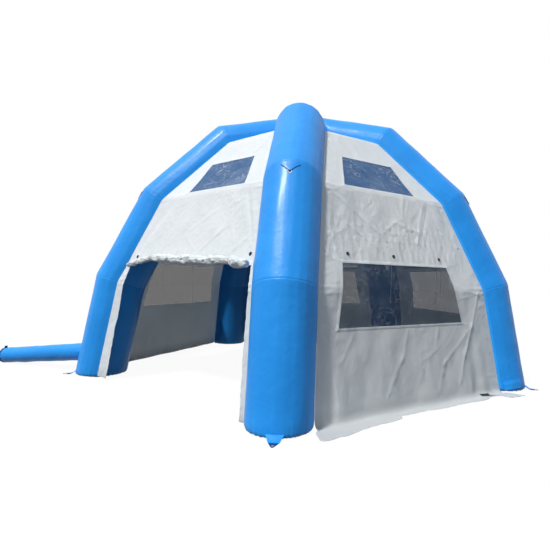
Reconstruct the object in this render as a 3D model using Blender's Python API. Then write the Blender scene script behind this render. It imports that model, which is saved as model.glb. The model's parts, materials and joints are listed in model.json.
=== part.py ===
"""Inflatable dome tent on five air legs, with one bay rolled up as a door.

Units are metres, +Z is up and the door faces -Y. Each leg is one hollow air tube that bends
over the room and meets the others at the crown. Five fabric walls hang between the legs.
"""

import math

import bmesh
import bpy
from mathutils import Matrix, Vector
from mathutils.bvhtree import BVHTree

# Clearances between pieces that touch
TOUCH_GAP = 0.0005
CROWN_GAP = 0.0004
LOOP_PLAY = 0.0006
CUT_OVERRUN = 0.004
SEAT_ROUNDS = 24
ANGLE_ROUNDING = 1e-9

# Air legs, whose bends lie on circles about the tent's axis
LEG_COUNT = 5
RIGHT_LEG_BEARING_DEGREES = 18.0
TUBE_SIDES = 24
TUBE_RADIUS = 0.375
TUBE_WALL = 0.008
FOOT_EDGE_RADIUS = 0.055
FOOT_EDGE_STEPS = 2
FOOT_CIRCLE_RADIUS = 3.341
BEND_1_CIRCLE_RADIUS = 3.076
BEND_1_HEIGHT = 1.491
BEND_2_CIRCLE_RADIUS = 2.444
BEND_2_HEIGHT = 2.820
BEND_3_CIRCLE_RADIUS = 1.398
BEND_3_HEIGHT = 3.859
CROWN_HEIGHT = 4.198

# Fabric walls
FABRIC_THICKNESS = 0.005
TIP_HALF_WIDTH = 0.040
SKIRT_MIDDLE_WIDTH = 0.180
SKIRT_END_WIDTH = 0.350
SKIRT_FLARE = 0.150
SKIRT_CURL = 0.070
SKIRT_RISE = 0.032
SKIRT_EDGE_WAVE = 0.022
WALL_FOOT = 0.100
DRAPE_DEPTH = 0.016
DRAPE_TOP_DEPTH = 0.009

# Columns of a wall, each side of its panes and across them, and the turns of its waves per column
LEFT_CELLS = 3
PANE_CELLS = 6
RIGHT_CELLS = 4
SKIRT_ROWS = 2
SKIRT_WAVE_TURN = 2.3
FOLD_TURN = 1.9
FOLD_MIDDLE_SHARE = 0.7
FOLD_SWING_SHARE = 0.3

# Clear panes
FILM_THICKNESS = 0.003
LOWER_HEAD = 1.810
LOWER_PANE_HEIGHT = 0.770
LOWER_SILL = LOWER_HEAD - LOWER_PANE_HEIGHT
LOWER_SILL_LEFT = 1.250
LOWER_SILL_RIGHT = 0.940
LOWER_HEAD_LEFT = 1.075
LOWER_HEAD_RIGHT = 0.800
UPPER_SILL_RISE = 0.050
UPPER_PANE_HEIGHT = 0.510
UPPER_SILL = BEND_2_HEIGHT + UPPER_SILL_RISE
UPPER_HEAD = UPPER_SILL + UPPER_PANE_HEIGHT
UPPER_SILL_NEAR = 0.740
UPPER_SILL_FAR = 0.560
DOOR_SILL_FAR = 0.490
UPPER_HEAD_HALF = 0.475

# Door bay
DOOR_HEM = 1.800
DOOR_HEM_CLEAR = 0.190
LEFT_STRIP_FOOT = 0.270
LEFT_STRIP_HEAD = 0.120
RIGHT_STRIP = 0.085
STRIP_FOOT = 0.030
ROLL_LEFT_END = -1.290
ROLL_RIGHT_END = 1.370
ROLL_RADIUS = 0.055
ROLL_END_RADIUS = 0.068
ROLL_TIE_RADIUS = 0.044
ROLL_SIDES = 10
ROLL_LUMP = 0.006
ROLL_LUMP_COUNT = 5
ROLL_LUMP_TURN = 2.2
LEFT_TIE = -0.670
RIGHT_TIE = 0.990
LEFT_TIE_RISE = 0.035
RIGHT_TIE_SAG = 0.020
LEFT_DROOP = 0.060
RIGHT_DROOP = 0.055
TIE_WIDTH = 0.030
TIE_THICKNESS = 0.003

# Rolled window covers, inside above each lower pane
COVER_RADIUS = 0.040
COVER_TIE_RADIUS = 0.032
COVER_RISE = 0.120
COVER_HEIGHT = LOWER_HEAD + COVER_RISE
COVER_SEAM_RISE = 0.200
COVER_SEAM_HEIGHT = COVER_HEIGHT + COVER_SEAM_RISE
COVER_OVERHANG = 0.060
COVER_SIDES = 8
COVER_LUMP = 0.004

# Toggles and tie cords
TOGGLE_LENGTH = 0.044
TOGGLE_RADIUS = 0.008
TOGGLE_TIP_RADIUS = 0.0045
TOGGLE_TIP = 0.006
TOGGLE_SIDES = 8
TOGGLE_DROP = 0.005
TOGGLE_HEIGHT = COVER_HEIGHT - TOGGLE_DROP
DOOR_TOGGLE_RISE = 0.085
CORD_RADIUS = 0.003
CORD_POINTS = 16
CORD_SWAY = 0.006
DOOR_CORD_LENGTH = 0.480
LEFT_CORD_LENGTH = 0.560
MIDDLE_CORD_LENGTH = 0.570
RIGHT_CORD_LENGTH = 0.500

# Places along a window cover as shares of the bay's half width, and along the door's roll of its half lengths
TOGGLE_SHARES = (-0.694, -0.137, 0.506)
WINDOW_CORD_SHARES = (TOGGLE_SHARES[1], TOGGLE_SHARES[2], 0.571)
DOOR_TOGGLE_SHARES = (0.927, 0.953)
DOOR_CORD_SHARES = (0.318, 0.226)

# Guy-line anchor under the second bend of each leg
PATCH_TOP_DROP = 0.003
PATCH_HEIGHT = 0.100
PATCH_WING = 0.022
PATCH_TIP_HALF = 0.016
PATCH_THICKNESS = 0.004
EYE_RADIUS = 0.0085
EYE_LENGTH = 0.024
EYE_SIDES = 12
WIRE_RADIUS = 0.0035
WIRE_SIDES = 6
RING_HALF_WIDTH = 0.024
RING_DROP = 0.034
RING_CORNER = 0.010
RING_CORNER_SHARE = 0.3
RING_BOW_STEPS = 6

# Peg tab at each foot
TAB_THICKNESS = 0.004
TAB_SLOPE_LENGTH = 0.080
TAB_FLAT_LENGTH = 0.110
TAB_TIP_HALF = 0.011
EYELET_RADIUS = 0.010
EYELET_INSET = 0.040
EYELET_SIDES = 12

# Inflation sleeve on the front left leg
SLEEVE_BEARING_DEGREES = 201.0
SLEEVE_SIDES = 20
SLEEVE_LEG_RADIUS = 0.145
SLEEVE_RADIUS = 0.130
SLEEVE_WALL = 0.006
SLEEVE_LENGTH = 2.080
SLEEVE_LEG_HEIGHT = 0.355
SLEEVE_STATIONS = 6
END_PANEL_THICKNESS = 0.040
END_LIP = 0.012
EAR_HEIGHT = 0.034
EAR_WIDTH = 0.050
EAR_SLANT = 0.0125

# Deflation zip and its rain flap, low on the right leg
ZIP_FROM_DEGREES = -78.0
ZIP_TO_DEGREES = -38.0
ZIP_SEGMENTS = 15
ZIP_ALONG = 0.070
ZIP_HEIGHT = 0.024
ZIP_THICKNESS = 0.003
SLIDER_WIDTH = 0.016
SLIDER_HEIGHT = 0.020
SLIDER_DEPTH = 0.005
PULL_LENGTH = 0.026
PULL_THICKNESS = 0.002
PULL_WIDTH = 0.008
SLIDER_REST_DEGREES = -75.0
FLAP_ALONG = 0.018
FLAP_HEIGHT = 0.135
FLAP_THICKNESS = 0.003
FLAP_STAND_OFF = 0.0115
FLAP_MARGIN_DEGREES = 1.5

BAY_HALF_ANGLE = math.pi / LEG_COUNT
LEG_NAMES = ("right", "back", "left", "front_left", "front_right")
WALL_NAMES = ("right_back", "left_back", "left_front", "door", "right_front")
DOOR_BAY = WALL_NAMES.index("door")
TANGENT = Vector((0.0, 1.0, 0.0))
UP = Vector((0.0, 0.0, 1.0))


# Scene and materials

def clear_scene():
    for old in list(bpy.data.objects):
        bpy.data.objects.remove(old)


def make_material(name, colour, roughness, metallic=0.0, alpha=1.0):
    material = bpy.data.materials.new(name)
    material.use_nodes = True
    shader = material.node_tree.nodes["Principled BSDF"]
    shader.inputs["Base Color"].default_value = (*colour, 1.0)
    shader.inputs["Roughness"].default_value = roughness
    shader.inputs["Metallic"].default_value = metallic
    shader.inputs["Alpha"].default_value = alpha
    material.diffuse_color = (*colour, alpha)
    return material


def make_materials():
    return {
        "tarpaulin": make_material("blue_tarpaulin", (0.045, 0.27, 0.78), 0.32),
        "fabric": make_material("white_fabric", (0.78, 0.81, 0.82), 0.75),
        "film": make_material("clear_film", (0.30, 0.34, 0.40), 0.12, alpha=0.45),
        "black": make_material("black_plastic", (0.02, 0.02, 0.025), 0.45),
        "steel": make_material("ring_steel", (0.45, 0.45, 0.47), 0.35, metallic=1.0),
        "cord": make_material("white_cord", (0.82, 0.82, 0.80), 0.8),
    }


def add_object(name, mesh, material, root, matrix=None):
    piece = bpy.data.objects.new(name, mesh)
    if not mesh.materials:
        mesh.materials.append(material)
    bpy.context.scene.collection.objects.link(piece)
    piece.parent = root
    if matrix is not None:
        piece.matrix_local = matrix
    return piece


def finish_mesh(bm, name, sharp_degrees=35.0):
    bmesh.ops.recalc_face_normals(bm, faces=bm.faces[:])
    mesh = bpy.data.meshes.new(name)
    bm.to_mesh(mesh)
    bm.free()
    mesh.shade_smooth()
    mesh.set_sharp_from_angle(angle=math.radians(sharp_degrees))
    return mesh


def turned(bearing):
    return Matrix.Rotation(bearing, 4, "Z")


# Meshes from rings and from grids

def skin_rings(rings, name, closed=False):
    """A solid skinned over rings of equal point counts, capped at both ends unless it closes on itself."""
    bm = bmesh.new()
    rows = [[bm.verts.new(point) for point in ring] for ring in rings]
    pairs = list(zip(rows, rows[1:]))
    if closed:
        pairs.append((rows[-1], rows[0]))
    for lower, upper in pairs:
        for k in range(len(lower)):
            after = (k + 1) % len(lower)
            bm.faces.new((lower[k], lower[after], upper[after], upper[k]))
    if not closed:
        bm.faces.new(rows[0])
        bm.faces.new(rows[-1])
    return finish_mesh(bm, name)


def circle(centre, across, upward, radius, sides, turn=0.0):
    ring = []
    for k in range(sides):
        angle = turn + 2 * math.pi * k / sides
        ring.append(centre + radius * (math.cos(angle) * upward + math.sin(angle) * across))
    return ring


def grid_normals(grid):
    """Unit normal at each grid point, along columns cross rows."""
    last_row = len(grid) - 1
    last_column = len(grid[0]) - 1
    normals = []
    for i in range(last_row + 1):
        line = []
        for j in range(last_column + 1):
            along = grid[i][min(j + 1, last_column)] - grid[i][max(j - 1, 0)]
            rise = grid[min(i + 1, last_row)][j] - grid[max(i - 1, 0)][j]
            line.append(along.cross(rise).normalized())
        normals.append(line)
    return normals


def sheet_mesh(name, grid, thickness, is_open=None):
    """A closed sheet about a grid of points, with the cells for which is_open holds left out."""
    normals = grid_normals(grid)
    rows = len(grid) - 1
    columns = len(grid[0]) - 1
    bm = bmesh.new()
    made = {}

    def corner(i, j, side):
        if (i, j, side) not in made:
            made[i, j, side] = bm.verts.new(grid[i][j] + side * thickness / 2 * normals[i][j])
        return made[i, j, side]

    def kept(i, j):
        inside = 0 <= i < rows and 0 <= j < columns
        return inside and not (is_open and is_open(i, j))

    for i in range(rows):
        for j in range(columns):
            if not kept(i, j):
                continue
            loop = [(i, j), (i, j + 1), (i + 1, j + 1), (i + 1, j)]
            beside = [(i - 1, j), (i, j + 1), (i + 1, j), (i, j - 1)]
            bm.faces.new([corner(*point, 1) for point in loop])
            bm.faces.new([corner(*point, -1) for point in reversed(loop)])
            for k in range(4):
                if not kept(*beside[k]):
                    start = loop[k]
                    end = loop[(k + 1) % 4]
                    bm.faces.new((corner(*end, 1), corner(*start, 1), corner(*start, -1), corner(*end, -1)))
    return finish_mesh(bm, name)


def step_in(grid, gap):
    """The same grid with its border moved in by a gap."""
    moved = [line[:] for line in grid]
    for line in moved:
        line[0] = line[0] + gap * (line[1] - line[0]).normalized()
        line[-1] = line[-1] + gap * (line[-2] - line[-1]).normalized()
    for j in range(len(moved[0])):
        moved[0][j] = moved[0][j] + gap * (moved[1][j] - moved[0][j]).normalized()
        moved[-1][j] = moved[-1][j] + gap * (moved[-2][j] - moved[-1][j]).normalized()
    return moved


def spread(start, end, count):
    """The values from start to end in equal steps, without the last."""
    return [start + (end - start) * k / count for k in range(count)]


def interpolate(value, table):
    """Reads a table of (key, result) pairs, in rising keys, at a value."""
    for (low, first), (high, second) in zip(table, table[1:]):
        if value <= high or (high, second) == table[-1]:
            return first + (second - first) * (value - low) / (high - low)
    return table[-1][1]


# Air legs, drawn in the leg's own plane with +X outward

def leg_path():
    return [
        Vector((FOOT_CIRCLE_RADIUS, 0.0, 0.0)),
        Vector((BEND_1_CIRCLE_RADIUS, 0.0, BEND_1_HEIGHT)),
        Vector((BEND_2_CIRCLE_RADIUS, 0.0, BEND_2_HEIGHT)),
        Vector((BEND_3_CIRCLE_RADIUS, 0.0, BEND_3_HEIGHT)),
        Vector((0.0, 0.0, CROWN_HEIGHT)),
    ]


def section_axes(section):
    """Unit vectors along a straight stretch of the leg and square to it, away from the room."""
    path = leg_path()
    along = (path[section + 1] - path[section]).normalized()
    return along, Vector((along.z, 0.0, -along.x))


def tube_offset(radius, angle, outward, stretch=1.0):
    return radius * (math.cos(angle) * stretch * outward + math.sin(angle) * TANGENT)


def tube_angles():
    return [2 * math.pi * k / TUBE_SIDES for k in range(TUBE_SIDES)]


def level_ring(radius, height):
    """Where a level plane cuts the lowest stretch of the leg."""
    along, outward = section_axes(0)
    ring = []
    for angle in tube_angles():
        point = leg_path()[0] + tube_offset(radius, angle, outward)
        ring.append(point + along * (height - point.z) / along.z)
    return ring


def mitre_ring(radius, bend):
    before = section_axes(bend - 1)[1]
    after = section_axes(bend)[1]
    middle = (before + after).normalized()
    stretch = 1 / middle.dot(before)
    return [leg_path()[bend] + tube_offset(radius, angle, middle, stretch) for angle in tube_angles()]


def crown_ring(radius):
    """Where the top stretch ends, on the two upright planes that it shares with its neighbours."""
    along, outward = section_axes(3)
    ring = []
    for angle in tube_angles():
        point = leg_path()[4] + tube_offset(radius, angle, outward)
        side_room = abs(point.y) + CROWN_GAP / 2 / math.cos(BAY_HALF_ANGLE)
        reach = side_room / math.tan(BAY_HALF_ANGLE)
        ring.append(point + along * (reach - point.x) / along.x)
    return ring


def foot_rings(radius):
    rings = []
    for k in range(FOOT_EDGE_STEPS + 1):
        turn = math.pi / 2 * k / FOOT_EDGE_STEPS
        inset = FOOT_EDGE_RADIUS * (1 - math.sin(turn))
        rings.append(level_ring(radius - inset, FOOT_EDGE_RADIUS * (1 - math.cos(turn))))
    return rings


def leg_mesh():
    """Outer skin from the ground to the crown, then the inner skin back down to the floor of the foot."""
    inner = TUBE_RADIUS - TUBE_WALL
    outside = foot_rings(TUBE_RADIUS) + [mitre_ring(TUBE_RADIUS, bend) for bend in (1, 2, 3)]
    inside = [mitre_ring(inner, bend) for bend in (3, 2, 1)]
    inside.append(level_ring(inner, FOOT_EDGE_RADIUS))
    inside.append(level_ring(TUBE_RADIUS - FOOT_EDGE_RADIUS, TUBE_WALL))
    return skin_rings(outside + [crown_ring(TUBE_RADIUS), crown_ring(inner)] + inside, "leg")


def leg_bearing(index):
    return math.radians(RIGHT_LEG_BEARING_DEGREES) + 2 * BAY_HALF_ANGLE * index


def build_legs(root, materials):
    mesh = leg_mesh()
    legs = []
    for index, name in enumerate(LEG_NAMES):
        legs.append(add_object("leg_" + name, mesh, materials["tarpaulin"], root, turned(leg_bearing(index))))
    return legs


# Bays between legs, drawn with u to the right seen from outside and w outward

def reach_at(height):
    return interpolate(height, [(point.z, point.x) for point in leg_path()])


def bay_distance(height):
    return reach_at(height) * math.cos(BAY_HALF_ANGLE) + TUBE_RADIUS * math.sin(BAY_HALF_ANGLE)


def bay_half_width(height):
    return reach_at(height) * math.sin(BAY_HALF_ANGLE) - TUBE_RADIUS * math.cos(BAY_HALF_ANGLE)


def bay_bearing(bay):
    return leg_bearing(bay) + BAY_HALF_ANGLE


def bay_point(u, w, height):
    """A point of a bay whose outward side is +X; u then runs along +Y."""
    return Vector((bay_distance(height) + w, u, height))


def tip_height():
    """Where the two side tubes have drawn the wall in to its tip."""
    reach = (TIP_HALF_WIDTH + TUBE_RADIUS * math.cos(BAY_HALF_ANGLE)) / math.sin(BAY_HALF_ANGLE)
    share = reach / BEND_3_CIRCLE_RADIUS
    return CROWN_HEIGHT - share * (CROWN_HEIGHT - BEND_3_HEIGHT)


def edge_gap():
    return FABRIC_THICKNESS / 2 * math.tan(BAY_HALF_ANGLE) + TOUCH_GAP


def side_lines(bay):
    """Tables of height to the left and right side of the panes, or of the door opening.

    An upper pane reaches further along its sill towards one leg than towards the other.
    """
    tip = tip_height()
    tip_side = UPPER_HEAD_HALF * bay_half_width(tip) / bay_half_width(UPPER_HEAD)
    above = [(UPPER_HEAD, UPPER_HEAD_HALF), (tip, tip_side)]
    if bay == DOOR_BAY:
        left = [(0.0, bay_half_width(0.0) - LEFT_STRIP_FOOT)]
        left.append((DOOR_HEM, bay_half_width(DOOR_HEM) - LEFT_STRIP_HEAD))
        left.append((UPPER_SILL, DOOR_SILL_FAR))
        right = [(0.0, bay_half_width(0.0) - RIGHT_STRIP)]
        right.append((DOOR_HEM, bay_half_width(DOOR_HEM) - RIGHT_STRIP))
        right.append((UPPER_SILL, UPPER_SILL_NEAR))
    else:
        widen = bay_half_width(0.0) / bay_half_width(LOWER_SILL)
        left = [(0.0, LOWER_SILL_LEFT * widen), (LOWER_SILL, LOWER_SILL_LEFT)]
        left.append((LOWER_HEAD, LOWER_HEAD_LEFT))
        left.append((UPPER_SILL, UPPER_SILL_NEAR))
        right = [(0.0, LOWER_SILL_RIGHT * widen), (LOWER_SILL, LOWER_SILL_RIGHT)]
        right.append((LOWER_HEAD, LOWER_HEAD_RIGHT))
        right.append((UPPER_SILL, UPPER_SILL_FAR))
    return left + above, right + above


def row_stations(bay, height):
    """The u of each column on one row: side band, pane, side band."""
    left, right = side_lines(bay)
    edge = bay_half_width(height) - edge_gap()
    pane_left = -interpolate(height, left)
    pane_right = interpolate(height, right)
    stations = spread(-edge, pane_left, LEFT_CELLS) + spread(pane_left, pane_right, PANE_CELLS)
    return stations + spread(pane_right, edge, RIGHT_CELLS) + [edge]


def upper_rows():
    return (
        spread(BEND_2_HEIGHT, UPPER_SILL, 1)
        + spread(UPPER_SILL, UPPER_HEAD, 3)
        + spread(UPPER_HEAD, BEND_3_HEIGHT, 2)
        + spread(BEND_3_HEIGHT, tip_height(), 1)
        + [tip_height()]
    )


def window_wall_rows():
    return (
        spread(WALL_FOOT, LOWER_SILL, 3)
        + spread(LOWER_SILL, BEND_1_HEIGHT, 2)
        + spread(BEND_1_HEIGHT, LOWER_HEAD, 1)
        + spread(LOWER_HEAD, COVER_SEAM_HEIGHT, 2)
        + spread(COVER_SEAM_HEIGHT, BEND_2_HEIGHT, 3)
        + upper_rows()
    )


def door_wall_rows():
    return (
        spread(STRIP_FOOT, BEND_1_HEIGHT, 3)
        + spread(BEND_1_HEIGHT, DOOR_HEM, 1)
        + spread(DOOR_HEM, DOOR_HEM + DOOR_HEM_CLEAR, 1)
        + spread(DOOR_HEM + DOOR_HEM_CLEAR, BEND_2_HEIGHT, 3)
        + upper_rows()
    )


def hem_rise(u):
    """How far the rolled door lies above its middle: held level by each tie and hanging down at both ends."""
    return interpolate(u, [
        (ROLL_LEFT_END, -LEFT_DROOP),
        (LEFT_TIE - TIE_WIDTH, LEFT_TIE_RISE),
        (LEFT_TIE + TIE_WIDTH, LEFT_TIE_RISE),
        ((LEFT_TIE + RIGHT_TIE) / 2, 0.0),
        (RIGHT_TIE - TIE_WIDTH, -RIGHT_TIE_SAG),
        (RIGHT_TIE + TIE_WIDTH, -RIGHT_TIE_SAG),
        (ROLL_RIGHT_END, -RIGHT_DROOP),
    ])


def drape_depth(height, bay):
    """Depth of the upright folds, none where a seam or a roll holds the cloth flat."""
    low_end = DOOR_HEM + DOOR_HEM_CLEAR if bay == DOOR_BAY else COVER_SEAM_HEIGHT
    top = [
        (low_end, 0.0),
        ((low_end + BEND_2_HEIGHT) / 2, DRAPE_TOP_DEPTH),
        (BEND_2_HEIGHT, 0.0),
        (tip_height(), 0.0),
    ]
    if bay == DOOR_BAY:
        return interpolate(height, [(0.0, 0.0)] + top)
    return interpolate(height, [(0.0, DRAPE_DEPTH), (WALL_FOOT, DRAPE_DEPTH), (LOWER_SILL, 0.0)] + top)


def fold(column, columns):
    """Folds run up the columns: out on one, in on the next, and none at the legs."""
    if column in (0, columns):
        return 0.0
    side = 1.0 if column % 2 else -1.0
    return side * (FOLD_MIDDLE_SHARE + FOLD_SWING_SHARE * math.cos(FOLD_TURN * column))


def wall_grid(bay):
    rows = door_wall_rows() if bay == DOOR_BAY else window_wall_rows()
    grid = []
    for height in rows:
        stations = row_stations(bay, height)
        depth = drape_depth(height, bay)
        line = []
        for column, u in enumerate(stations):
            here = height
            if bay == DOOR_BAY and height == DOOR_HEM:
                here += hem_rise(u)
            line.append(bay_point(u, depth * fold(column, len(stations) - 1), here))
        grid.append(line)
    if bay != DOOR_BAY:
        grid = skirt_grid() + grid
    return grid


def skirt_grid():
    """The hem that lies on the ground outside the wall, from its free edge in to where it turns up the wall.

    It is widest at the legs, where its corners flare out in front of their feet.
    """
    stations = row_stations(0, 0.0)
    folds = [DRAPE_DEPTH * fold(column, len(stations) - 1) for column in range(len(stations))]
    edge = stations[-1]
    grid = []
    for row in range(SKIRT_ROWS + 1):
        share = 1 - row / SKIRT_ROWS
        flare = SKIRT_FLARE * math.sqrt(share)
        line = []
        for column, u in enumerate(stations):
            width = SKIRT_MIDDLE_WIDTH + (SKIRT_END_WIDTH - SKIRT_MIDDLE_WIDTH) * (u / edge) ** 2
            width += SKIRT_EDGE_WAVE * math.sin(SKIRT_WAVE_TURN * column)
            w = SKIRT_CURL + (width - SKIRT_CURL) * share + folds[column]
            spot = bay_point(u * (edge + flare) / edge, w, 0.0)
            line.append(spot + FABRIC_THICKNESS / 2 * UP)
        grid.append(line)
    turn_up = [bay_point(u, SKIRT_RISE / 2 + folds[column], 0.0) for column, u in enumerate(stations)]
    grid.append([spot + SKIRT_RISE * UP for spot in turn_up])
    return grid


def is_pane_column(column):
    return LEFT_CELLS <= column < LEFT_CELLS + PANE_CELLS


def row_index(grid, height):
    """The wall row at a named height, read down the middle of the panes."""
    middle = LEFT_CELLS + PANE_CELLS // 2
    return min(range(len(grid)), key=lambda i: abs(grid[i][middle].z - height))


def build_wall(bay, root, materials):
    """One fabric wall with its clear panes, which keep to the same folds."""
    grid = wall_grid(bay)
    upper = (row_index(grid, UPPER_SILL), row_index(grid, UPPER_HEAD))
    if bay == DOOR_BAY:
        lower = (0, row_index(grid, DOOR_HEM))
    else:
        lower = (row_index(grid, LOWER_SILL), row_index(grid, LOWER_HEAD))

    def is_open(i, j):
        return is_pane_column(j) and (lower[0] <= i < lower[1] or upper[0] <= i < upper[1])

    name = "wall_" + WALL_NAMES[bay]
    matrix = turned(bay_bearing(bay))
    mesh = sheet_mesh(name, grid, FABRIC_THICKNESS, is_open)
    wall = add_object(name, mesh, materials["fabric"], root, matrix)
    panes = [("upper_pane_", upper)]
    if bay != DOOR_BAY:
        panes.append(("lower_pane_", lower))
    for prefix, (first, last) in panes:
        cut = [line[LEFT_CELLS:LEFT_CELLS + PANE_CELLS + 1] for line in grid[first:last + 1]]
        mesh = sheet_mesh(prefix, step_in(cut, TOUCH_GAP), FILM_THICKNESS)
        add_object(prefix + WALL_NAMES[bay], mesh, materials["film"], root, matrix)
    return wall


# Seating a piece against the fabric

def surface_tree(piece):
    graph = bpy.context.evaluated_depsgraph_get()
    return BVHTree.FromObject(piece, graph)


def seat(points, tree, direction, gap, start):
    """How far along a direction the points lie when the nearest is a gap from the surface.

    It starts clear of the surface and moves in.
    """
    out = start
    for _ in range(SEAT_ROUNDS):
        distance = min(tree.find_nearest(point + out * direction)[3] for point in points)
        out -= distance - gap
    return out


def panel_normal(section):
    """Outward unit normal of a bay between two bends, in the bay's own axes."""
    path = leg_path()
    rise = path[section + 1].z - path[section].z
    run = (path[section + 1].x - path[section].x) * math.cos(BAY_HALF_ANGLE)
    return Vector((rise, 0.0, -run)).normalized()


def inner_edges(rings):
    """Points along every ring and between rings, close enough for seating."""
    points = [point for ring in rings for point in ring]
    for lower, upper in zip(rings, rings[1:]):
        points += [(a + b) / 2 for a, b in zip(lower, upper)]
    return points


# Rolled door

def roll_stations():
    """(place, radius) along the roll, with a level stretch under each tie."""
    half = TIE_WIDTH / 2 + TOUCH_GAP
    spots = [(ROLL_LEFT_END, ROLL_END_RADIUS), ((ROLL_LEFT_END + LEFT_TIE) / 2, ROLL_RADIUS)]
    spots += [(LEFT_TIE - half, ROLL_TIE_RADIUS), (LEFT_TIE + half, ROLL_TIE_RADIUS)]
    for k in range(1, ROLL_LUMP_COUNT + 1):
        place = LEFT_TIE + (RIGHT_TIE - LEFT_TIE) * k / (ROLL_LUMP_COUNT + 1)
        spots.append((place, ROLL_RADIUS + ROLL_LUMP * math.cos(ROLL_LUMP_TURN * k)))
    spots += [(RIGHT_TIE - half, ROLL_TIE_RADIUS), (RIGHT_TIE + half, ROLL_TIE_RADIUS)]
    spots += [((RIGHT_TIE + ROLL_RIGHT_END) / 2, ROLL_END_RADIUS), (ROLL_RIGHT_END, ROLL_END_RADIUS)]
    return spots


def roll_centre(place):
    return bay_point(place, 0.0, DOOR_HEM + hem_rise(place))


def roll_places(shares):
    return (shares[0] * ROLL_LEFT_END, shares[1] * ROLL_RIGHT_END)


def build_door_roll(wall, root, materials):
    """The door panel rolled up outward on its hem, its two ties and the cords that hang from it."""
    outward = panel_normal(1)
    upward = Vector((-outward.z, 0.0, outward.x))
    rings = []
    for place, radius in roll_stations():
        rings.append(circle(roll_centre(place), outward, upward, radius, ROLL_SIDES))
    tree = surface_tree(wall)
    out = seat(inner_edges(rings), tree, outward, TOUCH_GAP, 2 * ROLL_END_RADIUS + FABRIC_THICKNESS)
    shift = out * outward
    matrix = turned(bay_bearing(DOOR_BAY))
    rings = [[point + shift for point in ring] for ring in rings]
    add_object("door_roll", skin_rings(rings, "door_roll"), materials["fabric"], root, matrix)
    for name, place in (("left", LEFT_TIE), ("right", RIGHT_TIE)):
        mesh = band_mesh(roll_centre(place) + shift, outward, upward, ROLL_TIE_RADIUS, ROLL_SIDES)
        add_object("door_tie_" + name, mesh, materials["fabric"], root, matrix)
    for name, place in zip(("left", "right"), roll_places(DOOR_CORD_SHARES)):
        below = roll_surface_below(rings, place)
        build_cord("door_cord_" + name, below, DOOR_CORD_LENGTH, root, materials, matrix)


def band_mesh(centre, outward, upward, held_radius, sides):
    """A flat tie round a roll, square to its length."""
    inner = held_radius + TOUCH_GAP
    outer = inner + TIE_THICKNESS
    half = TANGENT * TIE_WIDTH / 2
    rings = [
        circle(centre - half, outward, upward, inner, sides),
        circle(centre - half, outward, upward, outer, sides),
        circle(centre + half, outward, upward, outer, sides),
        circle(centre + half, outward, upward, inner, sides),
    ]
    return skin_rings(rings, "tie", closed=True)


def roll_surface_below(rings, place):
    """The lowest point of a roll at a place along it."""
    for near, far in zip(rings, rings[1:]):
        if near[0].y <= place <= far[0].y:
            share = (place - near[0].y) / (far[0].y - near[0].y)
            low = min(range(len(near)), key=lambda k: near[k].z)
            return near[low].lerp(far[low], share)
    return rings[-1][0]


def build_cord(name, exit_point, length, root, materials, matrix):
    """A limp cord hanging from a point, with a slight sway."""
    curve = bpy.data.curves.new(name, "CURVE")
    curve.dimensions = "3D"
    curve.bevel_depth = CORD_RADIUS
    curve.bevel_resolution = 2
    curve.use_fill_caps = True
    spline = curve.splines.new("POLY")
    spline.points.add(CORD_POINTS - 1)
    for k in range(CORD_POINTS):
        share = k / (CORD_POINTS - 1)
        sway = CORD_SWAY * share * math.sin(2 * math.pi * share)
        drop = TOUCH_GAP + length * share
        spline.points[k].co = (*(exit_point + sway * TANGENT - drop * UP), 1.0)
    cord = bpy.data.objects.new(name, curve)
    curve.materials.append(materials["cord"])
    bpy.context.scene.collection.objects.link(cord)
    cord.parent = root
    cord.matrix_local = matrix
    return cord


# Rolled window covers

def cover_places(shares):
    return [share * bay_half_width(TOGGLE_HEIGHT) for share in shares]


def cover_stations():
    half = TIE_WIDTH / 2
    left = -LOWER_HEAD_LEFT - COVER_OVERHANG
    right = LOWER_HEAD_RIGHT + COVER_OVERHANG
    spots = [(left, COVER_RADIUS)]
    places = cover_places(TOGGLE_SHARES)
    for k, place in enumerate(places):
        spots += [(place - half, COVER_TIE_RADIUS), (place + half, COVER_TIE_RADIUS)]
        if k + 1 < len(places):
            spots.append(((place + places[k + 1]) / 2, COVER_RADIUS + COVER_LUMP))
    spots.append((right, COVER_RADIUS))
    return spots


def build_cover(bay, wall, root, materials):
    """The blind of the lower pane, rolled up on the room side of the wall."""
    outward = panel_normal(1)
    upward = Vector((-outward.z, 0.0, outward.x))
    rings = []
    for place, radius in cover_stations():
        centre = bay_point(place, 0.0, COVER_HEIGHT)
        rings.append(circle(centre, outward, upward, radius, COVER_SIDES))
    start = 2 * COVER_RADIUS + COVER_LUMP + FABRIC_THICKNESS
    shift = -seat(inner_edges(rings), surface_tree(wall), -outward, TOUCH_GAP, start) * outward
    rings = [[point + shift for point in ring] for ring in rings]
    matrix = turned(bay_bearing(bay))
    name = "window_cover_" + WALL_NAMES[bay]
    add_object(name, skin_rings(rings, name), materials["fabric"], root, matrix)
    if WALL_NAMES[bay] != "right_front":
        return
    lengths = (LEFT_CORD_LENGTH, MIDDLE_CORD_LENGTH, RIGHT_CORD_LENGTH)
    for name, place, length in zip(("left", "middle", "right"), cover_places(WINDOW_CORD_SHARES), lengths):
        below = roll_surface_below(rings, place)
        build_cord("window_cord_" + name, below, length, root, materials, matrix)


# Toggles

def toggle_mesh():
    """A short barrel with drawn-in ends, along +Z about its own middle."""
    half = TOGGLE_LENGTH / 2
    levels = (
        (-half, TOGGLE_TIP_RADIUS),
        (TOGGLE_TIP - half, TOGGLE_RADIUS),
        (half - TOGGLE_TIP, TOGGLE_RADIUS),
        (half, TOGGLE_TIP_RADIUS),
    )
    across = Vector((1.0, 0.0, 0.0))
    turn = math.pi / TOGGLE_SIDES
    rings = [circle(z * UP, across, TANGENT, radius, TOGGLE_SIDES, turn) for z, radius in levels]
    return skin_rings(rings, "toggle")


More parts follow.
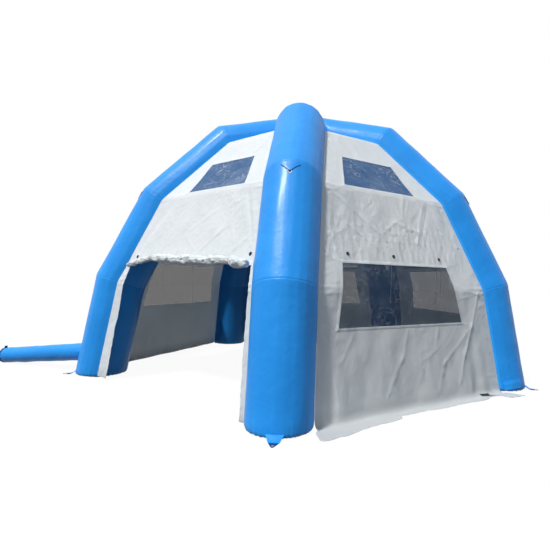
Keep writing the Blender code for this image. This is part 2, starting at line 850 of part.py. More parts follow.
def build_toggles(walls, root, materials):
    """Each toggle lies flat on the outside of its wall and turns about the wall's normal."""
    mesh = toggle_mesh()
    right_front = WALL_NAMES.index("right_front")
    door_height = DOOR_HEM + DOOR_TOGGLE_RISE
    window_places = zip(("left", "middle", "right"), cover_places(TOGGLE_SHARES))
    door_places = zip(("left", "right"), roll_places(DOOR_TOGGLE_SHARES))
    rows = (
        ("window_toggle_", right_front, TOGGLE_HEIGHT, window_places),
        ("door_toggle_", DOOR_BAY, door_height, door_places),
    )
    for prefix, bay, height, places in rows:
        tree = surface_tree(walls[bay])
        for name, place in places:
            outside = bay_point(place, 0.0, height) + TOGGLE_LENGTH * panel_normal(1)
            hit, normal, _, _ = tree.ray_cast(outside, -panel_normal(1))
            lift = TOGGLE_RADIUS * math.cos(math.pi / TOGGLE_SIDES) + TOUCH_GAP
            upright = (UP - UP.dot(normal) * normal).normalized()
            side = upright.cross(normal)
            frame = Matrix((normal, side, upright)).transposed().to_4x4()
            frame.translation = hit + lift * normal
            add_object(prefix + name, mesh, materials["black"], root, turned(bay_bearing(bay)) @ frame)


# Guy-line anchors

def facet_point(section, distance, angle, offset):
    """A point a little off the flat face of the tube at an angle, at a distance along a stretch."""
    along, outward = section_axes(section)
    step = 2 * math.pi / TUBE_SIDES
    low = math.floor(angle / step + ANGLE_ROUNDING) * step
    share = (angle - low) / step
    near = tube_offset(TUBE_RADIUS, low, outward)
    far = tube_offset(TUBE_RADIUS, low + step, outward)
    out = tube_offset(offset, angle, outward)
    return leg_path()[section] + along * distance + near.lerp(far, share) + out


def anchor_places():
    """Distances along the second stretch: top of the patch, its tip and the middle of its eye."""
    path = leg_path()
    top = (path[2] - path[1]).length - PATCH_TOP_DROP
    tip = top - PATCH_HEIGHT
    return top, tip, tip - EYE_RADIUS / 2


def eye_centre():
    return facet_point(1, anchor_places()[2], 0.0, EYE_RADIUS + TOUCH_GAP)


def patch_mesh():
    """A triangle pointing down, creased where the facets of the tube meet, its wings on the second facets."""
    top, tip, _ = anchor_places()
    facet = 2 * math.pi / TUBE_SIDES
    half = facet + PATCH_WING / TUBE_RADIUS
    tip_half = PATCH_TIP_HALF / TUBE_RADIUS
    crossing = top + (tip - top) * (half - facet) / (half - tip_half)
    outline = [(-half, top), (-facet, top), (0.0, top), (facet, top), (half, top)]
    outline += [(facet, crossing), (tip_half, tip), (0.0, tip), (-tip_half, tip), (-facet, crossing)]
    panels = ((0, 1, 9), (1, 2, 7, 8, 9), (2, 3, 5, 6, 7), (3, 4, 5))
    bm = bmesh.new()
    skins = []
    for lift in (TOUCH_GAP, TOUCH_GAP + PATCH_THICKNESS):
        skins.append([bm.verts.new(facet_point(1, distance, angle, lift)) for angle, distance in outline])
    for skin in skins:
        for panel in panels:
            bm.faces.new([skin[k] for k in panel])
    for k in range(len(outline)):
        after = (k + 1) % len(outline)
        bm.faces.new((skins[0][k], skins[0][after], skins[1][after], skins[1][k]))
    return finish_mesh(bm, "patch")


def eye_mesh():
    """A short pipe across the tip of the patch that the ring's bar turns in."""
    along, outward = section_axes(1)
    centre = eye_centre()
    bore = (WIRE_RADIUS + LOOP_PLAY) / math.cos(math.pi / EYE_SIDES)
    half = TANGENT * EYE_LENGTH / 2
    rings = [
        circle(centre - half, along, outward, bore, EYE_SIDES),
        circle(centre - half, along, outward, EYE_RADIUS, EYE_SIDES),
        circle(centre + half, along, outward, EYE_RADIUS, EYE_SIDES),
        circle(centre + half, along, outward, bore, EYE_SIDES),
    ]
    return skin_rings(rings, "eye", closed=True)


def ring_path():
    """A flat D in the plane of u and drop: the bar along the top, then a rounded bow."""
    half = RING_HALF_WIDTH
    corner = RING_CORNER
    points = [(-half + corner, 0.0), (half - corner, 0.0)]
    cut = RING_CORNER_SHARE * corner
    points += [(half - cut, cut), (half, corner)]
    bow = RING_DROP - corner
    for k in range(1, RING_BOW_STEPS):
        angle = math.pi * k / RING_BOW_STEPS
        points.append((half * math.cos(angle), corner + bow * math.sin(angle)))
    points += [(-half, corner), (-half + cut, cut)]
    return points


def anchor_ring_mesh():
    """Drawn about the bar's middle, with the bow down along -Z and the leg's outward side at +X."""
    path = [Vector((0.0, u, -drop)) for u, drop in ring_path()]
    out = Vector((1.0, 0.0, 0.0))
    rings = []
    for k, point in enumerate(path):
        before = (point - path[k - 1]).normalized()
        after = (path[(k + 1) % len(path)] - point).normalized()
        tangent = (before + after).normalized()
        stretch = 1 / tangent.dot(after)
        side = tangent.cross(out)
        ring = []
        for n in range(WIRE_SIDES):
            angle = 2 * math.pi * n / WIRE_SIDES
            ring.append(point + WIRE_RADIUS * (math.cos(angle) * out + math.sin(angle) * stretch * side))
        rings.append(ring)
    return skin_rings(rings, "anchor_ring", closed=True)


def cutter(name, mesh, root, matrix):
    """A shape that only cuts or joins, kept out of the model."""
    shape = bpy.data.objects.new(name, mesh)
    bpy.context.scene.collection.objects.link(shape)
    shape.parent = root
    shape.matrix_local = matrix
    shape.hide_render = True
    shape.display_type = "WIRE"
    return shape


def combine(piece, other, operation):
    modifier = piece.modifiers.new(other.name, "BOOLEAN")
    modifier.operation = operation
    modifier.solver = "EXACT"
    modifier.object = other


def build_anchors(root, materials):
    along, outward = section_axes(1)
    lean = math.asin((EYE_RADIUS - WIRE_RADIUS) / RING_DROP)
    ring = anchor_ring_mesh()
    eye = eye_mesh()
    for index, name in enumerate(LEG_NAMES):
        leg = turned(leg_bearing(index))
        patch = add_object("anchor_patch_" + name, patch_mesh(), materials["tarpaulin"], root, leg)
        combine(patch, cutter("eye_" + name, eye, root, leg), "UNION")
        frame = Matrix((outward, TANGENT, along)).transposed().to_4x4()
        frame = frame @ Matrix.Rotation(lean, 4, "Y")
        frame.translation = eye_centre()
        add_object("anchor_ring_" + name, ring, materials["steel"], root, leg @ frame)


# Peg tabs

def tab_seam():
    """The outermost point of the foot, where the tab is welded on."""
    return max(level_ring(TUBE_RADIUS, FOOT_EDGE_RADIUS), key=lambda point: point.x)


def tab_mesh():
    """A tapering tab from its seam round the foot down to the ground, flat there, drawn about its seam."""
    low = TAB_THICKNESS / 2 - tab_seam().z
    facet = 2 * math.pi / TUBE_SIDES
    root_half = TUBE_RADIUS * math.sin(facet)
    root_back = TUBE_RADIUS * (1 - math.cos(facet))
    places = (
        (0.0, root_back, 0.0, root_half),
        (TAB_SLOPE_LENGTH, 0.0, low, (root_half + TAB_TIP_HALF) / 2),
        (TAB_SLOPE_LENGTH + TAB_FLAT_LENGTH, 0.0, low, TAB_TIP_HALF),
    )
    grid = []
    for x, back, z, half in reversed(places):
        grid.append([Vector((x - back * abs(share), share * half, z)) for share in (-1.0, 0.0, 1.0)])
    return sheet_mesh("foot_tab", grid, TAB_THICKNESS)


def tab_tilt():
    """Slope of the tab beside its seam."""
    return math.atan2(tab_seam().z - TAB_THICKNESS / 2, TAB_SLOPE_LENGTH)


def build_foot_tabs(root, materials):
    seam = tab_seam()
    edge = TAB_THICKNESS / 2 * math.sin(tab_tilt())
    offset = Vector((seam.x + edge + TOUCH_GAP, 0.0, seam.z))
    for index, name in enumerate(LEG_NAMES):
        matrix = turned(leg_bearing(index)) @ Matrix.Translation(offset)
        tab = add_object("foot_tab_" + name, tab_mesh(), materials["tarpaulin"], root, matrix)
        spot = Vector((TAB_SLOPE_LENGTH + TAB_FLAT_LENGTH - EYELET_INSET, 0.0, -seam.z))
        across = Vector((1.0, 0.0, 0.0))
        levels = (-CUT_OVERRUN, TAB_THICKNESS + CUT_OVERRUN)
        rings = [circle(spot + z * UP, across, TANGENT, EYELET_RADIUS, EYELET_SIDES) for z in levels]
        hole = cutter("eyelet_" + name, skin_rings(rings, "eyelet"), root, matrix)
        combine(tab, hole, "DIFFERENCE")


# Inflation sleeve

def grown_leg_mesh():
    """The lowest stretch of the leg, solid and a touch larger, to shape the end of the sleeve."""
    radius = TUBE_RADIUS + TOUCH_GAP
    rings = [level_ring(radius, -FOOT_EDGE_RADIUS), mitre_ring(radius, 1)]
    return skin_rings(rings, "grown_leg")


def build_sleeve(legs, root, materials):
    """A hollow inlet from the leg out to the ground, its end panel, and the port through the leg."""
    index = LEG_NAMES.index("front_left")
    leg_matrix = turned(leg_bearing(index))
    heading = math.radians(SLEEVE_BEARING_DEGREES)
    forward = Vector((math.cos(heading), math.sin(heading), 0.0))
    across = Vector((-forward.y, forward.x, 0.0))
    foot = leg_matrix @ leg_path()[0]

    def station(share, inset=0.0):
        height = SLEEVE_LEG_HEIGHT + (SLEEVE_RADIUS - SLEEVE_LEG_HEIGHT) * share
        radius = SLEEVE_LEG_RADIUS + (SLEEVE_RADIUS - SLEEVE_LEG_RADIUS) * share - inset
        return circle(foot + SLEEVE_LENGTH * share * forward + height * UP, across, UP, radius, SLEEVE_SIDES)

    shares = [k / (SLEEVE_STATIONS - 1) for k in range(SLEEVE_STATIONS)]
    outside = [station(share) for share in shares]
    inside = [station(share, SLEEVE_WALL) for share in reversed(shares)]
    sleeve = add_object(
        "inflation_sleeve", skin_rings(outside + inside, "sleeve", closed=True), materials["tarpaulin"], root
    )
    combine(sleeve, cutter("sleeve_seat", grown_leg_mesh(), root, leg_matrix), "DIFFERENCE")
    port_share = 2 * TUBE_RADIUS / SLEEVE_LENGTH
    port = skin_rings([station(0.0, SLEEVE_WALL), station(port_share, SLEEVE_WALL)], "port")
    leg = legs[index]
    leg.data = leg.data.copy()
    combine(leg, cutter("sleeve_port", port, root, Matrix.Identity(4)), "DIFFERENCE")
    end = foot + SLEEVE_LENGTH * forward + SLEEVE_RADIUS * UP
    near = end + TOUCH_GAP * forward
    far = near + END_PANEL_THICKNESS * forward
    rings = [circle(near, across, UP, SLEEVE_RADIUS, SLEEVE_SIDES)]
    rings.append(circle(far, across, UP, SLEEVE_RADIUS, SLEEVE_SIDES))
    rings.append(circle(far + END_LIP * forward, across, UP, SLEEVE_RADIUS - END_LIP, SLEEVE_SIDES))
    panel = add_object("sleeve_end_panel", skin_rings(rings, "end_panel"), materials["tarpaulin"], root)
    ear = []
    for depth in (near, far):
        foot_left = depth + (SLEEVE_RADIUS - END_LIP) * UP - across * EAR_WIDTH / 2
        foot_right = foot_left + across * EAR_WIDTH
        rise = (EAR_HEIGHT + END_LIP) * UP
        ear.append([foot_left, foot_right, foot_right + rise - across * EAR_SLANT, foot_left + rise])
    combine(panel, cutter("sleeve_ear", skin_rings(ear, "ear"), root, Matrix.Identity(4)), "UNION")


# Deflation zip

def wrap_point(radius, angle, distance):
    """A point on a cylinder about the lowest stretch of the leg."""
    along, outward = section_axes(0)
    return leg_path()[0] + along * distance + tube_offset(radius, angle, outward)


def wrapped_sheet(name, rows, angles, thickness):
    """A sheet bent round the leg; rows give (radius of its middle, distance along the leg)."""
    grid = [[wrap_point(radius, angle, distance) for angle in angles] for radius, distance in rows]
    return sheet_mesh(name, grid, thickness)


def zip_angles(margin):
    start = math.radians(ZIP_FROM_DEGREES - margin)
    end = math.radians(ZIP_TO_DEGREES + margin)
    return spread(start, end, ZIP_SEGMENTS) + [end]


def slider_base_radius():
    return TUBE_RADIUS + TOUCH_GAP + ZIP_THICKNESS + TOUCH_GAP


def slider_mesh():
    """A slider body with its pull hanging below, drawn with +X off the leg and +Z up along it."""
    bm = bmesh.new()
    half_pull = PULL_WIDTH / 2
    half_body = SLIDER_WIDTH / 2
    half_height = SLIDER_HEIGHT / 2
    bottom = -half_height - PULL_LENGTH
    right_side = [(half_pull, bottom), (half_pull, -half_height)]
    right_side += [(half_body, -half_height), (half_body, half_height)]
    outline = right_side + [(-y, z) for y, z in reversed(right_side)]
    back = [bm.verts.new((0.0, y, z)) for y, z in outline]
    front_depths = [PULL_THICKNESS] + [SLIDER_DEPTH] * 6 + [PULL_THICKNESS]
    front = [bm.verts.new((depth, y, z)) for depth, (y, z) in zip(front_depths, outline)]
    bm.faces.new(back)
    bm.faces.new(front[1:7])
    bm.faces.new((front[7], front[0], front[1], front[6]))
    for k in range(len(outline)):
        after = (k + 1) % len(outline)
        bm.faces.new((back[k], back[after], front[after], front[k]))
    return finish_mesh(bm, "zip_slider")


def slider_frame():
    along, outward = section_axes(0)
    angle = math.radians(SLIDER_REST_DEGREES)
    off = tube_offset(1.0, angle, outward)
    side = along.cross(off)
    frame = Matrix((off, side, along)).transposed().to_4x4()
    frame.translation = wrap_point(slider_base_radius(), angle, ZIP_ALONG)
    return frame


def build_deflation_zip(root, materials):
    matrix = turned(leg_bearing(LEG_NAMES.index("right")))
    middle = TUBE_RADIUS + TOUCH_GAP + ZIP_THICKNESS / 2
    rows = [(middle, ZIP_ALONG - ZIP_HEIGHT / 2), (middle, ZIP_ALONG + ZIP_HEIGHT / 2)]
    tape = wrapped_sheet("deflation_zip", rows, zip_angles(0.0), ZIP_THICKNESS)
    add_object("deflation_zip", tape, materials["black"], root, matrix)
    add_object("zip_slider", slider_mesh(), materials["steel"], root, matrix @ slider_frame())
    close = TUBE_RADIUS + TOUCH_GAP + FLAP_THICKNESS / 2
    proud = TUBE_RADIUS + FLAP_STAND_OFF + FLAP_THICKNESS / 2
    top = FLAP_ALONG + FLAP_HEIGHT
    shoulder = ZIP_ALONG + SLIDER_HEIGHT + TOUCH_GAP
    rows = [(proud, FLAP_ALONG), (proud, shoulder), (close, top)]
    flap = wrapped_sheet("zip_flap", rows, zip_angles(FLAP_MARGIN_DEGREES), FLAP_THICKNESS)
    add_object("zip_flap", flap, materials["tarpaulin"], root, matrix)


# Origin

def centre_on_base(root):
    """Moves the tent so that its box stands on the ground, centred on the origin."""
    bpy.context.view_layer.update()
    graph = bpy.context.evaluated_depsgraph_get()
    low = Vector((math.inf, math.inf, math.inf))
    high = -low
    for piece in bpy.data.objects:
        if piece.type == "EMPTY" or piece.hide_render:
            continue
        solid = piece.evaluated_get(graph)
        mesh = solid.to_mesh()
        for vertex in mesh.vertices:
            point = solid.matrix_world @ vertex.co
            low = Vector(map(min, low, point))
            high = Vector(map(max, high, point))
        solid.to_mesh_clear()
    root.location = (-(low.x + high.x) / 2, -(low.y + high.y) / 2, -low.z)
    bpy.context.view_layer.update()


def main():
    clear_scene()
    materials = make_materials()
    root = bpy.data.objects.new("tent", None)
    bpy.context.scene.collection.objects.link(root)
    legs = build_legs(root, materials)
    walls = [build_wall(bay, root, materials) for bay in range(LEG_COUNT)]
    bpy.context.view_layer.update()
    build_door_roll(walls[DOOR_BAY], root, materials)
    for bay in range(LEG_COUNT):
        if bay != DOOR_BAY:
            build_cover(bay, walls[bay], root, materials)
    build_toggles(walls, root, materials)
    build_anchors(root, materials)
    build_foot_tabs(root, materials)
    build_sleeve(legs, root, materials)
    build_deflation_zip(root, materials)
    centre_on_base(root)


main()
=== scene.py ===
"""Looks of the inflatable tent: smooth air legs, draped walls, films, rolls, cords, light and camera.

Units are metres and +Z is up. A leg or a bay is drawn about the tent's axis with +X outward, then
turned to its bearing, as the solids are. Lengths repeat the construction's own values.
"""

import json
import math

import bpy
import numpy as np
from mathutils import Matrix, Vector


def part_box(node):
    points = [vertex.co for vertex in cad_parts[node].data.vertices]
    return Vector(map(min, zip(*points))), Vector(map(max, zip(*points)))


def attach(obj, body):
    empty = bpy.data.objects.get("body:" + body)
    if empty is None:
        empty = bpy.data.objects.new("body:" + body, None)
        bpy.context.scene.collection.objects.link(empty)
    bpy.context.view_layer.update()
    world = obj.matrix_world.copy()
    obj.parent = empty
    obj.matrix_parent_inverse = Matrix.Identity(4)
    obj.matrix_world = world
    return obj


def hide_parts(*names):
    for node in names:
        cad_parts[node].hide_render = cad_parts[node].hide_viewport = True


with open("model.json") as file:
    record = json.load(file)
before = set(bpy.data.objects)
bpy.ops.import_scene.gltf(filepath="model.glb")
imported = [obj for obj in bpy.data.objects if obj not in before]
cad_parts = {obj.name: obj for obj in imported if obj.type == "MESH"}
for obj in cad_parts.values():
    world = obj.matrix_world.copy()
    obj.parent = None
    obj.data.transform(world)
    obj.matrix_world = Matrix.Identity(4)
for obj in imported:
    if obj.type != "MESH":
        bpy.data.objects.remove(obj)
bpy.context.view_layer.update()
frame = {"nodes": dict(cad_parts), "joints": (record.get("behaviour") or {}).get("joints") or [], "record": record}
TINY = 1e-9

# Construction lengths that the looks follow
TOUCH_GAP = 0.0005
CROWN_GAP = 0.0004
LEG_COUNT = 5
RIGHT_LEG_BEARING = math.radians(18.0)
TUBE_RADIUS = 0.375
FOOT_ROUND = 0.055
LEG_PATH = np.array([
    (3.341, 0.0, 0.0), (3.076, 0.0, 1.491), (2.444, 0.0, 2.820), (1.398, 0.0, 3.859), (0.0, 0.0, 4.198),
])
FABRIC = 0.005
TIP_HALF_WIDTH = 0.040
DRAPE_DEPTH = 0.016
DRAPE_TOP_DEPTH = 0.009
LEFT_CELLS = 3
PANE_CELLS = 6
RIGHT_CELLS = 4
WALL_CELLS = LEFT_CELLS + PANE_CELLS + RIGHT_CELLS
FOLD_TURN = 1.9
FOLD_MIDDLE_SHARE = 0.7
FOLD_SWING_SHARE = 0.3
WALL_FOOT = 0.100
LOWER_SILL = 1.040
LOWER_HEAD = 1.810
LOWER_SILL_LEFT = 1.250
LOWER_SILL_RIGHT = 0.940
LOWER_HEAD_LEFT = 1.075
LOWER_HEAD_RIGHT = 0.800
UPPER_SILL = 2.870
UPPER_HEAD = 3.380
UPPER_SILL_NEAR = 0.740
UPPER_SILL_FAR = 0.560
DOOR_SILL_FAR = 0.490
UPPER_HEAD_HALF = 0.475
COVER_SEAM_HEIGHT = 2.130
DOOR_HEM = 1.800
DOOR_HEM_CLEAR = 0.190
LEFT_STRIP_FOOT = 0.270
LEFT_STRIP_HEAD = 0.120
RIGHT_STRIP_WIDTHS = ((0.0, 0.085), (0.7, 0.082), (1.3, 0.072), (1.5, 0.058), (1.8, 0.042))
RIGHT_STRIP_WAVE = 0.0045
STRIP_FOOT = 0.030
ROLL_LEFT_END = -1.290
ROLL_RIGHT_END = 1.370
ROLL_RADIUS = 0.055
ROLL_END_RADIUS = 0.068
ROLL_TIE_RADIUS = 0.044
LEFT_TIE = -0.670
RIGHT_TIE = 0.990
LEFT_TIE_RISE = 0.035
RIGHT_TIE_SAG = 0.020
LEFT_DROOP = 0.060
RIGHT_DROOP = 0.055
TIE_WIDTH = 0.030
TIE_THICKNESS = 0.003
COVER_RADIUS = 0.040
COVER_TIE_RADIUS = 0.032
COVER_HEIGHT = 1.930
COVER_OVERHANG = 0.060
COVER_LUMP = 0.004
TOGGLE_HEIGHT = 1.925
TOGGLE_LENGTH = 0.044
TOGGLE_RADIUS = 0.008
TOGGLE_SHARES = (-0.694, -0.137, 0.506)
TOGGLE_PATCH_RADIUS = 0.026
TOGGLE_PATCH_THICKNESS = 0.0012
CORD_RADIUS = 0.003
CORD_POINTS = 16
CORD_SWAY = 0.006
SLEEVE_BEARING = math.radians(201.0)
SLEEVE_LEG_RADIUS = 0.145
SLEEVE_RADIUS = 0.130
SLEEVE_LENGTH = 2.080
SLEEVE_LEG_HEIGHT = 0.355

BAY_HALF_ANGLE = math.pi / LEG_COUNT
LEG_NAMES = ("right", "back", "left", "front_left", "front_right")
WALL_NAMES = ("right_back", "left_back", "left_front", "door", "right_front")
TANGENT = np.array((0.0, 1.0, 0.0))
UP = np.array((0.0, 0.0, 1.0))
AXIS = np.mean([mount["pos_m"] for mount in frame["record"]["mounts"]], axis=0) * (1.0, 1.0, 0.0)


# Materials

THREAD_BUMP = 0.00012
GRAIN_RANGE = (0.3, 0.7)
WAVES_PER_UNIT = 0.314
# Painted shade near the ground: the share of the cloth's colour left at the ground, and the height where it fades
# out
GROUND_SHADE_SHARE = 0.66
GROUND_SHADE_HEIGHT = 0.20
# Colour that the film's scuffs and painted highlights are lightened towards
SCUFF_AND_HIGHLIGHT_COLOUR = 0.75


def feed(socket, value):
    """Gives a socket a link or a value; a colour gets its alpha."""
    if isinstance(value, bpy.types.NodeSocket):
        socket.id_data.links.new(value, socket)
    elif socket.type == "RGBA":
        socket.default_value = (*value, 1.0)
    else:
        socket.default_value = value


def set_up(node, **settings):
    """Feeds a node's sockets by name, or sets its own properties."""
    for name, value in settings.items():
        socket = node.inputs.get(name.replace("_", " "))
        if socket is None:
            setattr(node, name, value)
        else:
            feed(socket, value)
    return node


def add_node(tree, kind, **settings):
    return set_up(tree.nodes.new(kind), **settings)


def place_coordinates(tree, scale=(1.0, 1.0, 1.0)):
    """Object coordinates, which are metres in the tent's own frame."""
    metres = add_node(tree, "ShaderNodeTexCoord").outputs["Object"]
    return add_node(tree, "ShaderNodeMapping", Scale=scale, Vector=metres).outputs["Vector"]


def new_material(name, colour, roughness, **sockets):
    """A material, its Principled shader, its node tree and its coordinates."""
    material = bpy.data.materials.new(name)
    material.use_nodes = True
    tree = material.node_tree
    shader = set_up(tree.nodes["Principled BSDF"], Base_Color=colour, Roughness=roughness, **sockets)
    return material, shader, tree, place_coordinates(tree)


def noise(tree, vector, size, detail=3.0):
    """Noise whose blotches are about as wide as size."""
    return add_node(tree, "ShaderNodeTexNoise", Vector=vector, Scale=1.0 / size, Detail=detail).outputs["Fac"]


def ridges(tree, vector, scale, detail, offset=0.0):
    """Noise with sharp crests."""
    node = add_node(tree, "ShaderNodeTexNoise", noise_type="RIDGED_MULTIFRACTAL", Vector=vector, Scale=scale,
                    Detail=detail, Offset=offset)
    return node.outputs["Fac"]


def bands(tree, vector, direction, scale):
    wave = add_node(tree, "ShaderNodeTexWave", bands_direction=direction, Scale=scale, Vector=vector)
    return wave.outputs["Fac"]


def mix_colours(tree, factor, first, second):
    node = add_node(tree, "ShaderNodeMix", data_type="RGBA", Factor=factor)
    sockets = [socket for socket in node.inputs if socket.type == "RGBA"]
    for socket, value in zip(sockets, (first, second)):
        feed(socket, value)
    return next(socket for socket in node.outputs if socket.type == "RGBA")


def spread_range(tree, value, low, high, first=0.0, last=1.0):
    node = add_node(tree, "ShaderNodeMapRange", Value=value, From_Min=low, From_Max=high)
    return set_up(node, To_Min=first, To_Max=last).outputs["Result"]


def calculate(tree, operation, first, second):
    node = add_node(tree, "ShaderNodeMath", operation=operation)
    for socket, value in zip(node.inputs, (first, second)):
        feed(socket, value)
    return node.outputs["Value"]


def weave(tree, vector, thread):
    """Two crossed sets of threads, one thread per given width, from 0 to 1."""
    scale = WAVES_PER_UNIT / thread
    return calculate(tree, "MULTIPLY", bands(tree, vector, "X", scale), bands(tree, vector, "Z", scale))


def add_bumps(tree, shader, *layers):
    """Stacks bumps, each a (height, distance in metres)."""
    below = {}
    for height, distance in layers:
        bump = add_node(tree, "ShaderNodeBump", Distance=distance, Height=height, **below)
        below = {"Normal": bump.outputs["Normal"]}
    set_up(shader, **below)


def tarpaulin(name, colour, dark, roughness):
    """Coated cloth: faint cloudiness, a fine grid of threads, and soft unevenness in its gloss."""
    material, shader, tree, vector = new_material(
        name, colour, roughness, Specular_IOR_Level=0.27, Coat_Weight=0.06, Coat_Roughness=0.18)
    cloud = spread_range(tree, noise(tree, vector, size=0.55), 0.35, 0.65)
    scuff = noise(tree, vector, size=0.030, detail=5.0)
    gloss = spread_range(tree, scuff, *GRAIN_RANGE, roughness - 0.05, roughness + 0.08)
    set_up(shader, Base_Color=mix_colours(tree, cloud, dark, colour), Roughness=gloss)
    threads = weave(tree, vector, thread=0.0016)
    ripple = noise(tree, vector, size=0.045)
    wrinkle = noise(tree, vector, size=0.16, detail=4.0)
    add_bumps(tree, shader, (threads, THREAD_BUMP), (ripple, 0.0016), (wrinkle, 0.009))
    return material


def white_cloth(name, colour, dark):
    """Woven cloth with a thin coat: soft stains, small creases, threads, and painted shade that darkens it near
    the ground.
    """
    material, shader, tree, vector = new_material(
        name, colour, 0.58, Specular_IOR_Level=0.28, Subsurface_Weight=0.80,
        Subsurface_Radius=(1.0, 1.0, 1.0), Subsurface_Scale=0.006)
    cloud = spread_range(tree, noise(tree, vector, size=0.70, detail=4.0), 0.35, 0.68)
    # Painted shade: the cloth's colour is darkened towards the ground
    rise = add_node(tree, "ShaderNodeSeparateXYZ", Vector=vector).outputs["Z"]
    shaded_low = tuple(GROUND_SHADE_SHARE * value for value in colour)
    clean = mix_colours(tree, cloud, dark, colour)
    set_up(shader, Base_Color=mix_colours(tree, spread_range(tree, rise, 0.0, GROUND_SHADE_HEIGHT), shaded_low, clean))
    # The cloth is drawn smooth low down, and crumpled in patches above the windows
    loose = spread_range(tree, rise, 0.9, 2.1, first=0.25)
    patch = spread_range(tree, noise(tree, vector, size=0.60, detail=2.0), 0.38, 0.60, first=0.25)
    loose = calculate(tree, "MULTIPLY", loose, patch)
    upright = place_coordinates(tree, (1.0, 1.0, 0.7))
    layers = [(weave(tree, vector, thread=0.0014), THREAD_BUMP), (noise(tree, vector, size=0.022), 0.0017)]
    for scale, detail, distance in ((17.0, 3.0, 0.0060), (4.2, 4.0, 0.0080)):
        crests = ridges(tree, upright, scale, detail)
        layers.append((calculate(tree, "MULTIPLY", crests, loose), distance))
    add_bumps(tree, shader, *layers)
    return material


def clear_film(name, dark, pale, alpha):
    """Thin smoky film, a little uneven, seen through."""
    material, shader, tree, vector = new_material(name, pale, 0.16, Alpha=alpha, Specular_IOR_Level=0.14)
    haze = spread_range(tree, noise(tree, vector, size=0.22, detail=4.0), *GRAIN_RANGE)
    clean = mix_colours(tree, haze, dark, pale)
    # Scuffs and fine creases painted white in patches: partly scuffs, partly painted highlights on the film's
    # creases
    creases = ridges(tree, place_coordinates(tree, (1.0, 1.0, 2.2)), 9.0, 4.0, offset=1.0)
    patches = spread_range(tree, noise(tree, vector, size=0.30, detail=2.0), 0.36, 0.62)
    scuffs_and_highlights = calculate(tree, "MULTIPLY", spread_range(tree, creases, 1.00, 1.60), patches)
    scuffed_and_highlit = tuple(0.5 * (value + SCUFF_AND_HIGHLIGHT_COLOUR) for value in pale)
    set_up(shader, Base_Color=mix_colours(tree, scuffs_and_highlights, clean, scuffed_and_highlit))
    swell = noise(tree, vector, size=0.14, detail=2.0)
    add_bumps(tree, shader, (ridges(tree, vector, 7.0, 1.5), 0.0025), (swell, 0.008))
    return material


def plain_plastic(name, colour, roughness):
    material, shader, tree, vector = new_material(name, colour, roughness)
    scuff = noise(tree, vector, size=0.004, detail=4.0)
    set_up(shader, Roughness=spread_range(tree, scuff, *GRAIN_RANGE, roughness - 0.08, roughness + 0.10))
    add_bumps(tree, shader, (scuff, 0.0002))
    return material


def steel(name, colour, dark, pale):
    material, shader, tree, vector = new_material(name, colour, 0.34, Metallic=1.0)
    grain = noise(tree, vector, size=0.003, detail=4.0)
    gloss = spread_range(tree, grain, *GRAIN_RANGE, 0.28, 0.45)
    set_up(shader, Base_Color=mix_colours(tree, grain, dark, pale), Roughness=gloss)
    return material


def cord_material(name, dark, pale):
    """Braided cord: slanting strands along it."""
    material, shader, tree, vector = new_material(name, pale, 0.75, Sheen_Weight=0.1)
    strands = bands(tree, vector, "DIAGONAL", scale=80.0)
    set_up(shader, Base_Color=mix_colours(tree, strands, dark, pale))
    add_bumps(tree, shader, (strands, 0.0006))
    return material


BLUE = tarpaulin("blue_tarpaulin", (0.015, 0.302, 0.84), (0.012, 0.272, 0.78), 0.45)
# The weld tape is a little lighter than the cloth: partly its own colour, partly a painted highlight along the
# welds and the flap's welts
WELD_TAPE_AND_HIGHLIGHT = tarpaulin("blue_weld_tape", (0.030, 0.365, 0.92), (0.026, 0.340, 0.88), 0.42)
NAVY = tarpaulin("dark_blue_tarpaulin", (0.010, 0.040, 0.16), (0.008, 0.030, 0.12), 0.42)
CLOTH = white_cloth("white_fabric", (0.690, 0.720, 0.730), (0.645, 0.680, 0.690))
FILM = clear_film("clear_film", (0.050, 0.080, 0.130), (0.105, 0.148, 0.205), 0.22)
SKY_FILM = clear_film("clear_film_upper", (0.055, 0.155, 0.36), (0.100, 0.220, 0.43), 0.48)
BLACK = plain_plastic("black_plastic", (0.012, 0.012, 0.014), 0.40)
STEEL = steel("ring_steel", (0.50, 0.50, 0.52), (0.40, 0.40, 0.42), (0.60, 0.60, 0.62))
CORD = cord_material("white_cord", (0.80, 0.80, 0.79), (0.90, 0.90, 0.89))
# A grey copy of the white cord for the door's cords: painted shade
SHADED_CORD = cord_material("white_cord_in_shade", (0.20, 0.205, 0.21), (0.32, 0.325, 0.33))


# Meshes

def add_mesh(name, parts, materials, bearing=None, marks=None, body="tent", sharp_degrees=48.0):
    """A shaded object of (points, faces), turned to a bearing, that rides on a body."""
    points, faces = parts
    if bearing is not None:
        points = placed(points, bearing)
    used, numbers = np.unique(np.concatenate([np.ravel(block) for block in faces]), return_inverse=True)
    polygons = []
    for block, shaped in zip(np.split(numbers, np.cumsum([np.size(block) for block in faces])[:-1]), faces):
        polygons += block.reshape(np.shape(shaped)).tolist()
    mesh = bpy.data.meshes.new(name)
    mesh.from_pydata(points[used].tolist(), [], polygons)
    for material in materials:
        mesh.materials.append(material)
    if marks is not None:
        mesh.polygons.foreach_set("material_index", np.asarray(marks, np.int32))
    mesh.shade_smooth()
    mesh.set_sharp_from_angle(angle=math.radians(sharp_degrees))
    piece = linked(name, mesh)
    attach(piece, body)
    return piece


def linked(name, data):
    """A new object in the scene."""
    piece = bpy.data.objects.new(name, data)
    bpy.context.scene.collection.objects.link(piece)
    return piece


def placed(points, bearing):
    """Points drawn about the axis with +X outward, turned to a bearing."""
    cos, sin = math.cos(bearing), math.sin(bearing)
    x, y, z = np.moveaxis(np.asarray(points, float), -1, 0)
    return np.stack([x * cos - y * sin, x * sin + y * cos, z], -1) + AXIS


